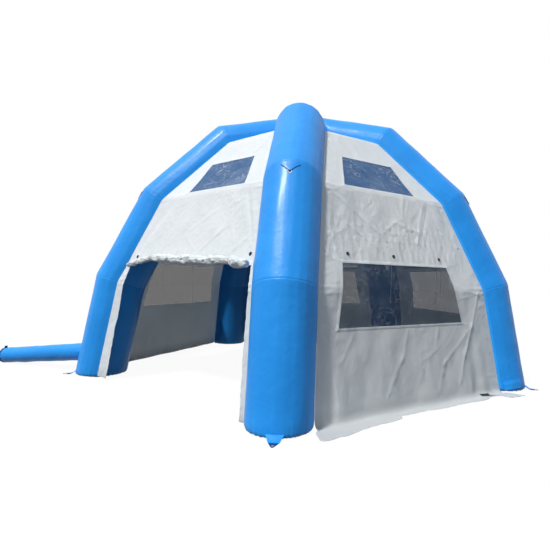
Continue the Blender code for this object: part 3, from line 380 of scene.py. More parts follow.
def level_axes(bearing):
    """Directions out at a bearing and across it, both level."""
    cos, sin = math.cos(bearing), math.sin(bearing)
    return np.array((cos, sin, 0.0)), np.array((-sin, cos, 0.0))


def mirrored(outline):
    """An outline of (place, size), with its mirror image after it."""
    return [*outline, *((-place, size) for place, size in reversed(outline))]


def unit(vectors):
    return vectors / np.linalg.norm(vectors, axis=-1, keepdims=True)


def circle(count):
    """Equal angles round a full turn."""
    return 2 * math.pi * np.arange(count) / count


def spokes(angles, first, second):
    """Directions round a circle, from the first one towards the second one."""
    return np.cos(angles)[..., None] * first + np.sin(angles)[..., None] * second


def tube_faces(rows, sides):
    index = np.arange(rows * sides).reshape(rows, sides)
    after = np.roll(index, -1, axis=1)
    return np.stack([index[:-1], after[:-1], after[1:], index[1:]], -1).reshape(-1, 4)


def ring_solid(rings, closed=False):
    """Points and faces of a solid skinned over rings, capped unless it closes on itself."""
    rings = np.asarray(rings)
    rows, sides = rings.shape[:2]
    faces = [tube_faces(rows, sides)]
    first = np.arange(sides)
    last = (rows - 1) * sides + first
    if closed:
        faces.append(np.stack([last, np.roll(last, -1), np.roll(first, -1), first], -1))
    else:
        faces += [first[None, ::-1], last[None, :]]
    return rings.reshape(-1, 3), faces


def normals_of(grid, closed=False):
    """Unit normals of a grid, or of a closed tube of rings."""
    if closed:
        along = np.roll(grid, -1, axis=1) - np.roll(grid, 1, axis=1)
    else:
        along = np.gradient(grid, axis=1)
    normal = np.cross(along, np.gradient(grid, axis=0))
    return normal / np.maximum(np.linalg.norm(normal, axis=-1, keepdims=True), TINY)


def sheet_parts(grid, thickness, kept=None):
    """Points and faces of a closed sheet about a grid, without the cells that aren't kept."""
    rows, columns = grid.shape[:2]
    half = thickness / 2 * normals_of(grid)
    points = np.concatenate([(grid + half).reshape(-1, 3), (grid - half).reshape(-1, 3)])
    count = rows * columns
    index = np.arange(count).reshape(rows, columns)
    if kept is None:
        kept = np.ones((rows - 1, columns - 1), bool)
    cells = np.stack([index[:-1, :-1], index[:-1, 1:], index[1:, 1:], index[1:, :-1]], -1)[kept]
    faces = [cells, cells[:, ::-1] + count]
    around = np.pad(kept, 1)
    sides = (
        (around[:-2, 1:-1], index[:-1, :-1], index[:-1, 1:]),
        (around[1:-1, 2:], index[:-1, 1:], index[1:, 1:]),
        (around[2:, 1:-1], index[1:, 1:], index[1:, :-1]),
        (around[1:-1, :-2], index[1:, :-1], index[:-1, :-1]),
    )
    for beside, start, end in sides:
        edge = kept & ~beside
        near, far = start[edge], end[edge]
        faces.append(np.stack([far, near, near + count, far + count], -1))
    return points, faces


def tube_rings(path, radius, sides, closed=False):
    """Rings square to a path of points."""
    path = np.asarray(path, float)
    if closed:
        tangents = unit(np.roll(path, -1, axis=0) - np.roll(path, 1, axis=0))
    else:
        tangents = unit(np.gradient(path, axis=0))
    side = np.cross(tangents[0], UP if abs(tangents[0][2]) < 0.9 else TANGENT)
    rings = []
    for point, tangent in zip(path, tangents):
        side = unit(side - side.dot(tangent) * tangent)
        rings.append(point + radius * spokes(circle(sides), side, np.cross(tangent, side)))
    return rings


def joined(parts):
    """Several (points, faces) as one."""
    points, faces, start = [], [], 0
    for some_points, some_faces in parts:
        points.append(some_points)
        faces += [block + start for block in some_faces]
        start += len(some_points)
    return np.concatenate(points), faces


def on_ground(rings):
    """The points, with those below the ground lifted onto it."""
    rings = np.array(rings)
    rings[..., 2] = np.maximum(rings[..., 2], 0.0)
    return rings


def read_table(value, table):
    """Reads a table of (key, result) in straight lines."""
    return np.interp(value, *zip(*table))


def smooth_read(value, table):
    """Reads a table with rounded steps between its entries."""
    keys, results = (np.array(column, float) for column in zip(*table))
    place = np.clip(np.searchsorted(keys, value) - 1, 0, len(keys) - 2)
    share = ease(value, keys[place], keys[place + 1])
    return results[place] + (results[place + 1] - results[place]) * share


def stations(values, step):
    """The values, with equal steps of at most a given size filled in between them."""
    found = [values[0]]
    for low, high in zip(values, values[1:]):
        count = max(1, math.ceil((high - low) / step - TINY))
        found += [low + (high - low) * k / count for k in range(1, count + 1)]
    return np.array(found)


def waves(points, size, depth, seed, count=9):
    """Smooth unevenness: waves in mixed directions, about as long as size, at most about depth high."""
    random = np.random.default_rng(seed)
    total = np.zeros(points.shape[:-1])
    for _ in range(count):
        direction = random.normal(size=3)
        direction *= 2 * math.pi / size / np.linalg.norm(direction) * random.uniform(0.6, 1.5)
        total += np.sin(points @ direction + random.uniform(0, 2 * math.pi))
    return depth * total / math.sqrt(count)


def crumple(points, size, depth, seed, count=7):
    """Sharp ridges in mixed directions that wander, about as far apart as size."""
    random = np.random.default_rng(seed)
    drift = np.stack([waves(points, 1.6 * size, 0.22 * size, seed + 100 + k, 5) for k in range(3)], -1)
    total = np.zeros(points.shape[:-1])
    for k in range(count):
        direction = random.normal(size=3)
        direction *= math.pi / size / np.linalg.norm(direction) * random.uniform(0.5, 1.4)
        ridge = 1 - 2 * np.abs(np.sin((points + drift) @ direction + random.uniform(0, math.pi)))
        patch = waves(points, 3.0 * size, 0.5, seed + 200 + k, 4)
        total += ridge * np.clip(0.5 + patch, 0.0, 1.2)
    return depth * total / math.sqrt(count)


def bell(distance, width):
    return np.exp(-(distance / width) ** 2)


def ease(value, low, high):
    """0 below low, 1 above high, smooth between."""
    share = np.clip((value - low) / (high - low), 0.0, 1.0)
    return share * share * (3 - 2 * share)


# Air legs

LEG_COLUMNS = 144
BEND_ROUND = 0.026
BEND_ROWS = 16
FOOT_ROWS = 12
LEG_STEP = 0.050
CROWN_ROUND = 0.060
CROWN_ROWS = 7
SEAM_DEPTH = 0.0026
SEAM_WIDTH = 0.008
PUCKER_DEPTH = 0.006
PUCKER_REACH = 0.07
PUCKER_COUNT = 17
OUTER_PUCKER_SHARE = 0.25
FOOT_GATHER_DEPTH = 0.010
FOOT_GATHER_REACH = 0.055
FOOT_GATHER_COUNT = 26
PANEL_DEPTH = 0.0011
PANEL_COUNTS = (11, 23)
FOOT_DRAW = 0.008
FOOT_DRAW_HEIGHT = 0.150
FOOT_INSET = 0.034
DENT_DEPTH = 0.0022
DENT_SIZE = 0.55
CROWN_REACHES = (0.5, 0.2)
LEG_TURN = 1.3
WELD_HALF_ANGLE = math.radians(3.8)
WELD_FADE = (0.04, 0.22)
WELD_SHARE = 0.15
FOOT_SHADE_ROWS = 5
FAR_FROM_BENDS = 9.0


def leg_bearing(index):
    return RIGHT_LEG_BEARING + 2 * BAY_HALF_ANGLE * index


def section_axes(section):
    """Directions along a stretch of a leg and out from it."""
    along = unit(LEG_PATH[section + 1] - LEG_PATH[section])
    return along, np.array((along[2], 0.0, -along[0]))


def level_ring(angles, radius, height):
    along, outward = section_axes(0)
    ring = LEG_PATH[0] + radius * spokes(angles, outward, TANGENT)
    return ring + ((height - ring[:, 2]) / along[2])[:, None] * along


def mitre_ring(angles, radius, bend):
    before = section_axes(bend - 1)[1]
    middle = unit(before + section_axes(bend)[1])
    return LEG_PATH[bend] + radius * spokes(angles, middle / middle.dot(before), TANGENT)


def crown_ring(angles, radius):
    """Where the top stretch meets the two upright planes that it shares with its neighbours."""
    along, outward = section_axes(3)
    ring = LEG_PATH[4] + radius * spokes(angles, outward, TANGENT)
    reach = (np.abs(ring[:, 1]) + CROWN_GAP / 2 / math.cos(BAY_HALF_ANGLE)) / math.tan(BAY_HALF_ANGLE)
    return ring + ((reach - ring[:, 0]) / along[0])[:, None] * along


def straight_rows(first, last, start, end):
    """Rings between two rings, from a distance after the first to a distance before the last."""
    lengths = np.linalg.norm(last - first, axis=-1, keepdims=True)
    count = max(1, math.ceil(float(lengths.mean()) / LEG_STEP))
    rings = []
    for k in range(count + 1):
        distance = start + (lengths - start - end) * k / count
        ring = first + (last - first) / lengths * distance
        rings.append((ring, np.minimum(distance, lengths - distance)[:, 0]))
    return rings


def leg_rings(angles):
    """(ring, distance of each point from the nearest bend) from the ground to the crown."""
    rings = []
    far = np.full(len(angles), FAR_FROM_BENDS)
    for k in range(FOOT_ROWS):
        turn = math.pi / 2 * k / FOOT_ROWS
        radius = TUBE_RADIUS - FOOT_INSET * (1 - math.sin(turn))
        rings.append((level_ring(angles, radius, FOOT_ROUND * (1 - math.cos(turn))), far))
    corners = [level_ring(angles, TUBE_RADIUS, FOOT_ROUND)]
    corners += [mitre_ring(angles, TUBE_RADIUS, bend) for bend in (1, 2, 3)]
    corners.append(crown_ring(angles, TUBE_RADIUS))
    starts = (0.0, BEND_ROUND, BEND_ROUND, BEND_ROUND)
    ends = (BEND_ROUND, BEND_ROUND, BEND_ROUND, CROWN_ROUND)
    # The lowest and the highest stretch have a bend at one end only
    only_bends = {0: 1, 3: 3}
    for section in range(4):
        first, last = corners[section:section + 2]
        for ring, distance in straight_rows(first, last, starts[section], ends[section]):
            if section in only_bends:
                distance = np.linalg.norm(corners[only_bends[section]] - ring, axis=-1)
            rings.append((ring, distance))
        if section == 3:
            break
        before = last + BEND_ROUND * unit(first - last)
        after = last + BEND_ROUND * unit(corners[section + 2] - last)
        for k in range(1, BEND_ROWS):
            t = k / BEND_ROWS
            ring = (1 - t) ** 2 * before + 2 * t * (1 - t) * last + t ** 2 * after
            rings.append((ring, np.full(len(angles), abs(2 * t - 1) * BEND_ROUND)))
    along = section_axes(3)[0]
    for k in range(1, CROWN_ROWS + 1):
        turn = math.pi / 2 * k / CROWN_ROWS
        ring = crown_ring(angles, TUBE_RADIUS - CROWN_ROUND * (1 - math.cos(turn)))
        rings.append((ring - along * CROWN_ROUND * (1 - math.sin(turn)), far))
    return rings


def leg_push(index, rings, from_bend, angles, side):
    """How far the air pushes each point of a leg out: seams, puckers, gathers, panels and dents."""
    height = rings[..., 2]
    turn = LEG_TURN * index
    below_crown = 1 - ease(rings[..., 0], *CROWN_REACHES)
    inner_side = np.clip(-np.cos(angles), 0.0, 1.0) ** 1.5
    pucker = np.cos(PUCKER_COUNT * angles + turn + 1.5 * np.sin(2 * angles + turn))
    pucker = PUCKER_DEPTH * np.exp(-from_bend / PUCKER_REACH) * pucker
    push = -SEAM_DEPTH * bell(from_bend, SEAM_WIDTH)
    push += pucker * inner_side + OUTER_PUCKER_SHARE * pucker * (1 - inner_side)
    drift = 1.5 * np.sin(3 * angles + turn) + np.sin(7 * angles)
    gather = 1 - 2 * np.abs(np.sin(FOOT_GATHER_COUNT * angles + drift))
    push += FOOT_GATHER_DEPTH * np.exp(-height / FOOT_GATHER_REACH) * gather * ease(height, -0.02, 0.03)
    push -= FOOT_DRAW * np.clip(1 - height / FOOT_DRAW_HEIGHT, 0.0, 1.0) ** 2
    wide, narrow = PANEL_COUNTS
    panel = np.cos(wide * angles + turn + 0.6 * np.sin(1.7 * height)) + 0.6 * np.cos(narrow * angles - turn)
    push += PANEL_DEPTH * panel * below_crown
    push += ease(height, 0.0, 0.3) * below_crown * waves(rings, DENT_SIZE, DENT_DEPTH, 11 + index)
    return push * (WELD_SHARE + (1 - WELD_SHARE) * ease(side, *WELD_FADE))


def build_leg(index, name):
    angles = circle(LEG_COLUMNS)
    rings, from_bend = (np.array(column) for column in zip(*leg_rings(angles)))
    side = np.minimum(np.abs(angles - math.pi / 2), np.abs(angles - 3 * math.pi / 2))
    push = leg_push(index, rings, from_bend, angles, side)
    rings = on_ground(rings + push[..., None] * normals_of(rings, closed=True))
    rows, sides = rings.shape[:2]
    # The weld strips at the two sides take the lighter tape, partly a painted highlight
    finish = np.tile(side + math.pi / sides < WELD_HALF_ANGLE, (rows - 1, 1)).astype(int)
    # The lowest rows and the bottom face take the dark blue: painted shade under the foot's rounding
    finish[:FOOT_SHADE_ROWS] = 2
    # The crown's end is capped by strips across it, because it isn't flat
    last = (rows - 1) * sides
    quarter = sides // 4
    strips, corners = [], []
    for k in range(-quarter, quarter):
        ends = [k, k + 1, 2 * quarter - k - 1, 2 * quarter - k]
        ends = list(dict.fromkeys(last + end % sides for end in ends))
        (strips if len(ends) == 4 else corners).append(ends)
    marks = np.concatenate([finish.ravel(), [2], np.zeros(len(strips) + len(corners), int)])
    faces = [tube_faces(rows, sides), np.arange(sides)[None, ::-1], np.array(strips), np.array(corners)]
    parts = rings.reshape(-1, 3), faces
    materials = (BLUE, WELD_TAPE_AND_HIGHLIGHT, NAVY)
    piece = add_mesh("air_leg_" + name, parts, materials, leg_bearing(index), marks)
    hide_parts("leg_" + name)


for leg_index, leg_name in enumerate(LEG_NAMES):
    build_leg(leg_index, leg_name)


# Fabric walls, drawn with u to the right seen from outside and w outward

WALL_CLOTH = 0.0025
FILM_THICKNESS = 0.0012
HEM_WIDTH = 0.030
HEM_STEP = 0.004
HEM_PROUD = 0.0018
WALL_STEP = 0.026
FINE_STEP = 0.017
FINE_WALLS = ("door", "right_front")
MIRRORED_WALLS = ("left_back", "left_front")
CURL_WIDTH = 0.070
CURL_HEIGHT = 0.100
CURL_ROWS = 9
CURL_PULL_OUT = 0.012
CURL_PULL_UP = 0.035
SKIRT_FLARE = 0.150
SKIRT_MIDDLE_WIDTH = 0.180
SKIRT_END_WIDTH = 0.350
SKIRT_EDGE_WAVE = 0.022
SKIRT_WAVE_TURN = 2.3
SKIRT_STEP = 0.022
SKIRT_RIPPLE = 0.0035
SKIRT_LIFT = 0.0015
COLUMN_COUNTS = (16, 70, 22)
FINE_COUNTS = (28, 118, 40)
KINK_ROUND = 0.030
SEAM_ROWS = (2.130, 2.315)
SEAM_HALF = 0.012
SEAM_PROUD = 0.0016
SEAM_ROUND = 0.008
CREASE_WIDTH_SHARE = 0.55
CREASE_DEPTH_SHARE = 0.75
GATHER_DEPTH_SHARE = 0.75
STRETCH_DRAW = 0.012
ROW_PUCKER = 0.0035
ROW_PUCKER_LENGTH = 0.115
ROW_PUCKER_REACH = 0.055
BEND_PUCKER = 0.006
BEND_PUCKER_LENGTH = 0.075
BEND_PUCKER_REACHES = (0.10, 0.16)
DOOR_LINE_SPOTS = 61

# Small scattered creases as (seed step, count, corners of their box, angle and spread in degrees, ranges of
# lengths, of half widths and of depths): over the door, then on its two strips
DOOR_SCATTERS = (
    (2, 60, ((-1.0, 1.95), (1.0, 2.75)), 70, 35, (0.10, 0.40), (0.010, 0.020), (0.001, 0.004)),
    (3, 44, ((-1.75, 0.05), (-1.25, 1.75)), 62, 26, (0.10, 0.40), (0.009, 0.016), (0.003, 0.008)),
    (3, 44, ((1.30, 0.05), (1.75, 1.75)), 62, 26, (0.10, 0.40), (0.009, 0.016), (0.003, 0.008)),
)
# The same for a window wall: gathers over the window's head, hanging folds over the seam, the crumpled cloth
# between them, then looser ones above, at the left, and under the window
WINDOW_SCATTERS = (
    (4, 38, ((-0.15, 1.90), (1.05, 2.03)), 64, 9, (0.10, 0.20), (0.007, 0.011), (0.002, 0.004)),
    (5, 14, ((0.30, 2.18), (1.00, 2.28)), 86, 7, (0.12, 0.26), (0.009, 0.013), (0.003, 0.006)),
    (6, 64, ((-0.50, 2.06), (0.45, 2.38)), 20, 60, (0.05, 0.18), (0.006, 0.011), (0.002, 0.005)),
    (7, 26, ((-0.85, 2.36), (0.75, 2.78)), 80, 22, (0.10, 0.36), (0.010, 0.018), (0.002, 0.005)),
    (8, 16, ((-1.25, 1.95), (-0.30, 2.30)), 60, 60, (0.08, 0.25), (0.009, 0.016), (0.002, 0.005)),
    (9, 60, ((-1.30, 0.20), (1.20, 0.98)), 84, 22, (0.12, 0.45), (0.010, 0.020), (0.001, 0.004)),
)
# Ranges of lengths, of half widths and of depths of the creases at the tubes and at the panes' corners
EDGE_RANGES = (0.07, 0.26), (0.010, 0.020), (0.002, 0.006)
PANE_RANGES = (0.10, 0.30), (0.010, 0.018), (0.002, 0.005)

# Creases as (start, end, half width, depth), each end a (u, height) on its bay
RIGHT_FRONT_CREASES = (
    ((1.354, 1.443), (1.150, 0.979), 0.035, 0.012), ((1.150, 0.979), (0.932, 0.597), 0.045, 0.016),
    ((0.932, 0.597), (0.786, 0.229), 0.050, 0.014), ((1.077, 0.922), (0.506, 0.516), 0.045, 0.009),
    ((0.506, 0.516), (0.381, 0.216), 0.045, 0.009), ((0.423, 0.951), (0.363, 0.711), 0.030, 0.008),
    ((0.363, 0.711), (0.128, 0.580), 0.035, 0.006), ((-0.138, 0.957), (-0.276, 0.615), 0.040, 0.008),
    ((-0.276, 0.615), (-0.554, 0.237), 0.045, 0.010), ((-1.061, 0.933), (-1.226, 0.674), 0.040, 0.007),
    ((-1.226, 0.674), (-0.967, 0.318), 0.050, 0.007), ((-1.342, 0.454), (-1.326, 0.148), 0.030, 0.009),
    ((-1.430, 0.960), (-1.380, 0.890), 0.025, -0.008), ((1.352, 1.433), (0.944, 1.564), 0.014, 0.006),
    ((1.352, 1.433), (0.923, 1.363), 0.014, 0.006), ((1.352, 1.433), (1.034, 1.484), 0.012, 0.006),
    ((-1.097, 2.799), (-0.380, 2.260), 0.035, 0.012), ((-0.845, 2.291), (-0.467, 2.056), 0.035, 0.010),
    ((0.265, 2.778), (0.160, 2.482), 0.040, 0.008), ((0.675, 2.740), (0.336, 2.147), 0.035, 0.012),
    ((0.734, 2.664), (0.479, 2.233), 0.030, -0.010), ((-0.231, 2.274), (0.013, 2.409), 0.035, 0.010),
    ((0.013, 2.409), (0.447, 2.290), 0.035, 0.010), ((1.020, 2.150), (0.700, 2.600), 0.035, 0.008),
)
DOOR_CREASES = (
    ((0.336, 2.493), (-0.072, 2.255), 0.030, 0.008), ((0.700, 2.262), (0.323, 1.980), 0.030, 0.009),
    ((-0.135, 2.170), (0.144, 1.968), 0.025, 0.010), ((0.869, 2.549), (0.576, 2.220), 0.035, 0.008),
    ((-0.695, 2.493), (-0.597, 2.376), 0.030, 0.007), ((-1.125, 1.990), (-0.808, 2.215), 0.030, 0.008),
    ((1.193, 2.123), (0.926, 1.915), 0.030, 0.010), ((-0.620, 1.990), (-0.480, 2.330), 0.028, 0.006),
    ((0.320, 2.800), (0.120, 2.480), 0.030, 0.006), ((0.980, 1.960), (0.760, 2.300), 0.025, 0.006),
)
BACK_CREASES = (
    ((-1.300, 1.420), (-1.420, 0.700), 0.035, 0.009), ((1.300, 1.420), (1.050, 0.700), 0.040, 0.010),
    ((1.050, 0.700), (0.850, 0.250), 0.045, 0.010), ((0.300, 0.980), (0.050, 0.500), 0.045, 0.009),
    ((-0.500, 0.980), (-0.620, 0.350), 0.040, 0.008), ((-1.060, 2.760), (-0.500, 2.250), 0.035, 0.010),
    ((0.950, 2.700), (0.500, 2.200), 0.035, 0.010), ((-0.150, 2.760), (-0.050, 2.350), 0.035, 0.007),
)

# Free edge of the right front wall's hem as (u, width), read from the photograph
RIGHT_FRONT_HEM = (
    (-1.660, 0.300), (-1.625, 0.355), (-1.560, 0.350), (-1.380, 0.340), (-1.130, 0.290), (-0.620, 0.232),
    (-0.520, 0.215), (-0.440, 0.125), (-0.360, 0.158), (-0.030, 0.160), (0.530, 0.172), (0.920, 0.190),
    (1.330, 0.140), (1.360, 0.290), (1.500, 0.330), (1.660, 0.320),
)
CREASES = {"right_front": RIGHT_FRONT_CREASES, "door": DOOR_CREASES}


def rounded_reach(height):
    """How far out the legs' middle line is, its kinks rounded off as in the tubes."""
    spots = np.linspace(-KINK_ROUND, KINK_ROUND, 5)
    return sum(np.interp(height + spot, LEG_PATH[:, 2], LEG_PATH[:, 0]) for spot in spots) / len(spots)


def bay_distance(height):
    return rounded_reach(height) * math.cos(BAY_HALF_ANGLE) + TUBE_RADIUS * math.sin(BAY_HALF_ANGLE)


def bay_half_width(height):
    return rounded_reach(height) * math.sin(BAY_HALF_ANGLE) - TUBE_RADIUS * math.cos(BAY_HALF_ANGLE)


def bay_points(u, w, height):
    """Points of a bay as an array of the given shape, in three coordinates."""
    u, w, height = np.broadcast_arrays(u, w, height)
    return np.stack([bay_distance(height) + w, u, height], -1)


def bay_bearing(bay_name):
    return leg_bearing(WALL_NAMES.index(bay_name)) + BAY_HALF_ANGLE


def tip_height():
    """Where the two legs beside a bay come within the tip's width of each other."""
    reach = (TIP_HALF_WIDTH + TUBE_RADIUS * math.cos(BAY_HALF_ANGLE)) / math.sin(BAY_HALF_ANGLE)
    return LEG_PATH[4, 2] - reach / LEG_PATH[3, 0] * (LEG_PATH[4, 2] - LEG_PATH[3, 2])


TIP = tip_height()
EDGE_GAP = FABRIC / 2 * math.tan(BAY_HALF_ANGLE) + TOUCH_GAP


def side_lines(is_door):
    """Tables of height to the left and right side of the panes, or of the door opening."""
    tip_side = UPPER_HEAD_HALF * bay_half_width(TIP) / bay_half_width(UPPER_HEAD)
    above = [(UPPER_HEAD, UPPER_HEAD_HALF), (TIP, tip_side)]
    if is_door:
        left = [(0.0, bay_half_width(0.0) - LEFT_STRIP_FOOT)]
        left.append((DOOR_HEM, bay_half_width(DOOR_HEM) - LEFT_STRIP_HEAD))
        right = []
        for height in np.linspace(0.0, DOOR_HEM, DOOR_LINE_SPOTS):
            wave = (math.sin(21 * height) + 0.6 * math.sin(47 * height + 1)) * (1.1 - height / 2)
            width = read_table(height, RIGHT_STRIP_WIDTHS) + RIGHT_STRIP_WAVE * wave
            right.append((height, float(bay_half_width(height)) - width))
        sills = (DOOR_SILL_FAR, UPPER_SILL_NEAR)
    else:
        widen = bay_half_width(0.0) / bay_half_width(LOWER_SILL)
        ends = (LOWER_SILL_LEFT, LOWER_HEAD_LEFT), (LOWER_SILL_RIGHT, LOWER_HEAD_RIGHT)
        left, right = ([(0.0, sill * widen), (LOWER_SILL, sill), (LOWER_HEAD, head)] for sill, head in ends)
        sills = (UPPER_SILL_NEAR, UPPER_SILL_FAR)
    return [line + [(UPPER_SILL, sill)] + above for line, sill in zip((left, right), sills)]


def column_counts(bay_name):
    return FINE_COUNTS if bay_name in FINE_WALLS else COLUMN_COUNTS


def wall_columns(bay_name, heights):
    """u of each column on each row, and the column's place as the construction counts its columns."""
    left, right = side_lines(bay_name == "door")
    edge = bay_half_width(heights) - EDGE_GAP
    pane_left = -read_table(heights, left)
    pane_right = read_table(heights, right)
    left_count, pane_count, right_count = column_counts(bay_name)
    hem = (HEM_WIDTH, HEM_WIDTH - HEM_STEP, HEM_WIDTH / 2)
    columns = [-edge + (pane_left - HEM_WIDTH + edge) * k / left_count for k in range(left_count)]
    columns += [pane_left - out for out in hem]
    columns += [pane_left + (pane_right - pane_left) * k / pane_count for k in range(pane_count)]
    columns += [pane_right] + [pane_right + out for out in reversed(hem)]
    for k in range(1, right_count + 1):
        columns.append(pane_right + HEM_WIDTH + (edge - pane_right - HEM_WIDTH) * k / right_count)
    u = np.stack(columns, -1)
    knots = np.stack([-edge, pane_left, pane_right, edge], -1)
    marks = (0, LEFT_CELLS, LEFT_CELLS + PANE_CELLS, WALL_CELLS)
    return u, np.array([np.interp(line, knot, marks) for line, knot in zip(u, knots)])


def hem_slots(bay_name):
    """Column numbers of the raised hem's outer edges and of the pane's sides."""
    left_count, pane_count, _ = column_counts(bay_name)
    pane_first = left_count + 3
    pane_last = pane_first + pane_count
    return left_count + 1, pane_first, pane_last, pane_last + 2


def fold(place):
    """The construction's folds, out on one of its columns and in on the next, with round crests."""
    whole = np.arange(WALL_CELLS + 1)
    heights = FOLD_MIDDLE_SHARE + FOLD_SWING_SHARE * np.cos(FOLD_TURN * whole)
    heights = np.where(whole % 2, heights, -heights)
    heights[[0, -1]] = 0.0
    low = np.clip(np.floor(place).astype(int), 0, WALL_CELLS - 1)
    share = (1 - np.cos(math.pi * (place - low))) / 2
    return heights[low] + (heights[low + 1] - heights[low]) * share


def drape_depth(heights, is_door):
    low_end = DOOR_HEM + DOOR_HEM_CLEAR if is_door else COVER_SEAM_HEIGHT
    top = LEG_PATH[2, 2]
    lower = [(0.0, 0.0)] if is_door else [(0.0, DRAPE_DEPTH), (WALL_FOOT, DRAPE_DEPTH), (LOWER_SILL, 0.0)]
    upper = [(low_end, 0.0), ((low_end + top) / 2, DRAPE_TOP_DEPTH), (top, 0.0), (TIP, 0.0)]
    return read_table(heights, lower + upper)


def hem_rise(u):
    """How far the rolled door lies above its middle."""
    return read_table(u, (
        (ROLL_LEFT_END, -LEFT_DROOP),
        (LEFT_TIE - TIE_WIDTH, LEFT_TIE_RISE), (LEFT_TIE + TIE_WIDTH, LEFT_TIE_RISE),
        ((LEFT_TIE + RIGHT_TIE) / 2, 0.0),
        (RIGHT_TIE - TIE_WIDTH, -RIGHT_TIE_SAG), (RIGHT_TIE + TIE_WIDTH, -RIGHT_TIE_SAG),
        (ROLL_RIGHT_END, -RIGHT_DROOP),
    ))


def scattered(seed, count, corners, angle, spread, lengths, widths, depths):
    """Random creases in a box of (u, height), about an angle in degrees from level."""
    random = np.random.default_rng(seed)
    creases = []
    for _ in range(count):
        middle = random.uniform(*corners)
        turn = math.radians(angle + spread * random.normal())
        reach = random.uniform(*lengths) / 2 * np.array((math.cos(turn), math.sin(turn)))
        depth = random.uniform(*depths) * random.choice((1, 1, -1))
        creases.append((middle - reach, middle + reach, random.uniform(*widths), depth))
    return creases


def gather(random, start, direction, lengths, widths, depths, inset=0.0):
    """A crease of random size from a place, or from a share of its length past it."""
    reach = random.uniform(*lengths) * np.array(direction)
    start = np.array(start) + inset * reach
    return start, start + reach, random.uniform(*widths), random.uniform(*depths)


def edge_gathers(seed, low, high):
    """Short creases that start at the tubes on both sides."""
    random = np.random.default_rng(seed)
    creases = []
    for side in (-1, 1):
        height = low
        while height < high:
            turn = math.radians(random.uniform(-40, 25))
            direction = (-side * math.cos(turn), math.sin(turn))
            start = (side * float(bay_half_width(np.array(height))), height)
            creases.append(gather(random, start, direction, *EDGE_RANGES))
            height += random.uniform(0.05, 0.15)
    return creases


def pane_gathers(seed, left, right, sill, head):
    """Creases that fan out from a pane's four corners."""
    random = np.random.default_rng(seed)
    creases = []
    corners = (-left[0], sill, 225), (right[0], sill, 315), (-left[1], head, 135), (right[1], head, 45)
    for u, height, away in corners:
        for turn in (-32, -12, 8, 30):
            angle = math.radians(away + turn + random.uniform(-6, 6))
            direction = (math.cos(angle), math.sin(angle))
            creases.append(gather(random, (u, height), direction, *PANE_RANGES, inset=0.15))
    return creases


def crease_push(u, height, creases):
    """Ridges along the given lines, that fade at both ends."""
    total = np.zeros(np.shape(u))
    for start, end, width, depth in creases:
        run = np.subtract(end, start)
        length = math.hypot(*run)
        along = ((u - start[0]) * run[0] + (height - start[1]) * run[1]) / length
        across = ((height - start[1]) * run[0] - (u - start[0]) * run[1]) / length
        past = np.maximum(np.maximum(-along, along - length), 0.0)
        bend = width * 0.4 * np.sin(2.6 * along / max(length, 0.1) + start[0] * 5)
        total += depth * np.exp(-np.abs(across - bend) / width) * bell(past, 0.30 * width + 0.04)
    return total


def wall_gathers(bay_name):
    """The small sharp creases of a wall: at the tubes, at the panes' corners, and scattered."""
    seed = 300 + 10 * WALL_NAMES.index(bay_name)
    is_door = bay_name == "door"
    near, far = (DOOR_SILL_FAR, UPPER_SILL_NEAR) if is_door else (UPPER_SILL_NEAR, UPPER_SILL_FAR)
    creases = edge_gathers(seed, 1.95 if is_door else 0.25, TIP - 0.1)
    creases += pane_gathers(seed + 1, (near, UPPER_HEAD_HALF), (far, UPPER_HEAD_HALF), UPPER_SILL, UPPER_HEAD)
    if not is_door:
        left, right = (LOWER_SILL_LEFT, LOWER_HEAD_LEFT), (LOWER_SILL_RIGHT, LOWER_HEAD_RIGHT)
        creases += pane_gathers(seed + 3, left, right, LOWER_SILL, LOWER_HEAD)
    for step, *settings in DOOR_SCATTERS if is_door else WINDOW_SCATTERS:
        creases += scattered(seed + step, *settings)
    return creases


def middle_of(node):
    """The middle of a CAD node's box."""
    return np.mean([np.array(corner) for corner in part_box(node)], axis=0)


def toggle_places(bay_name):
    """Where the toggles of a bay sit, as (u, height)."""
    prefix = {"right_front": "window_toggle", "door": "door_toggle"}.get(bay_name)
    if prefix is None:
        return []
    tangent = level_axes(bay_bearing(bay_name))[1]
    centres = [middle_of(joint["child"]) for joint in frame["joints"] if joint["child"].startswith(prefix)]
    return [((centre - AXIS).dot(tangent), centre[2]) for centre in centres]


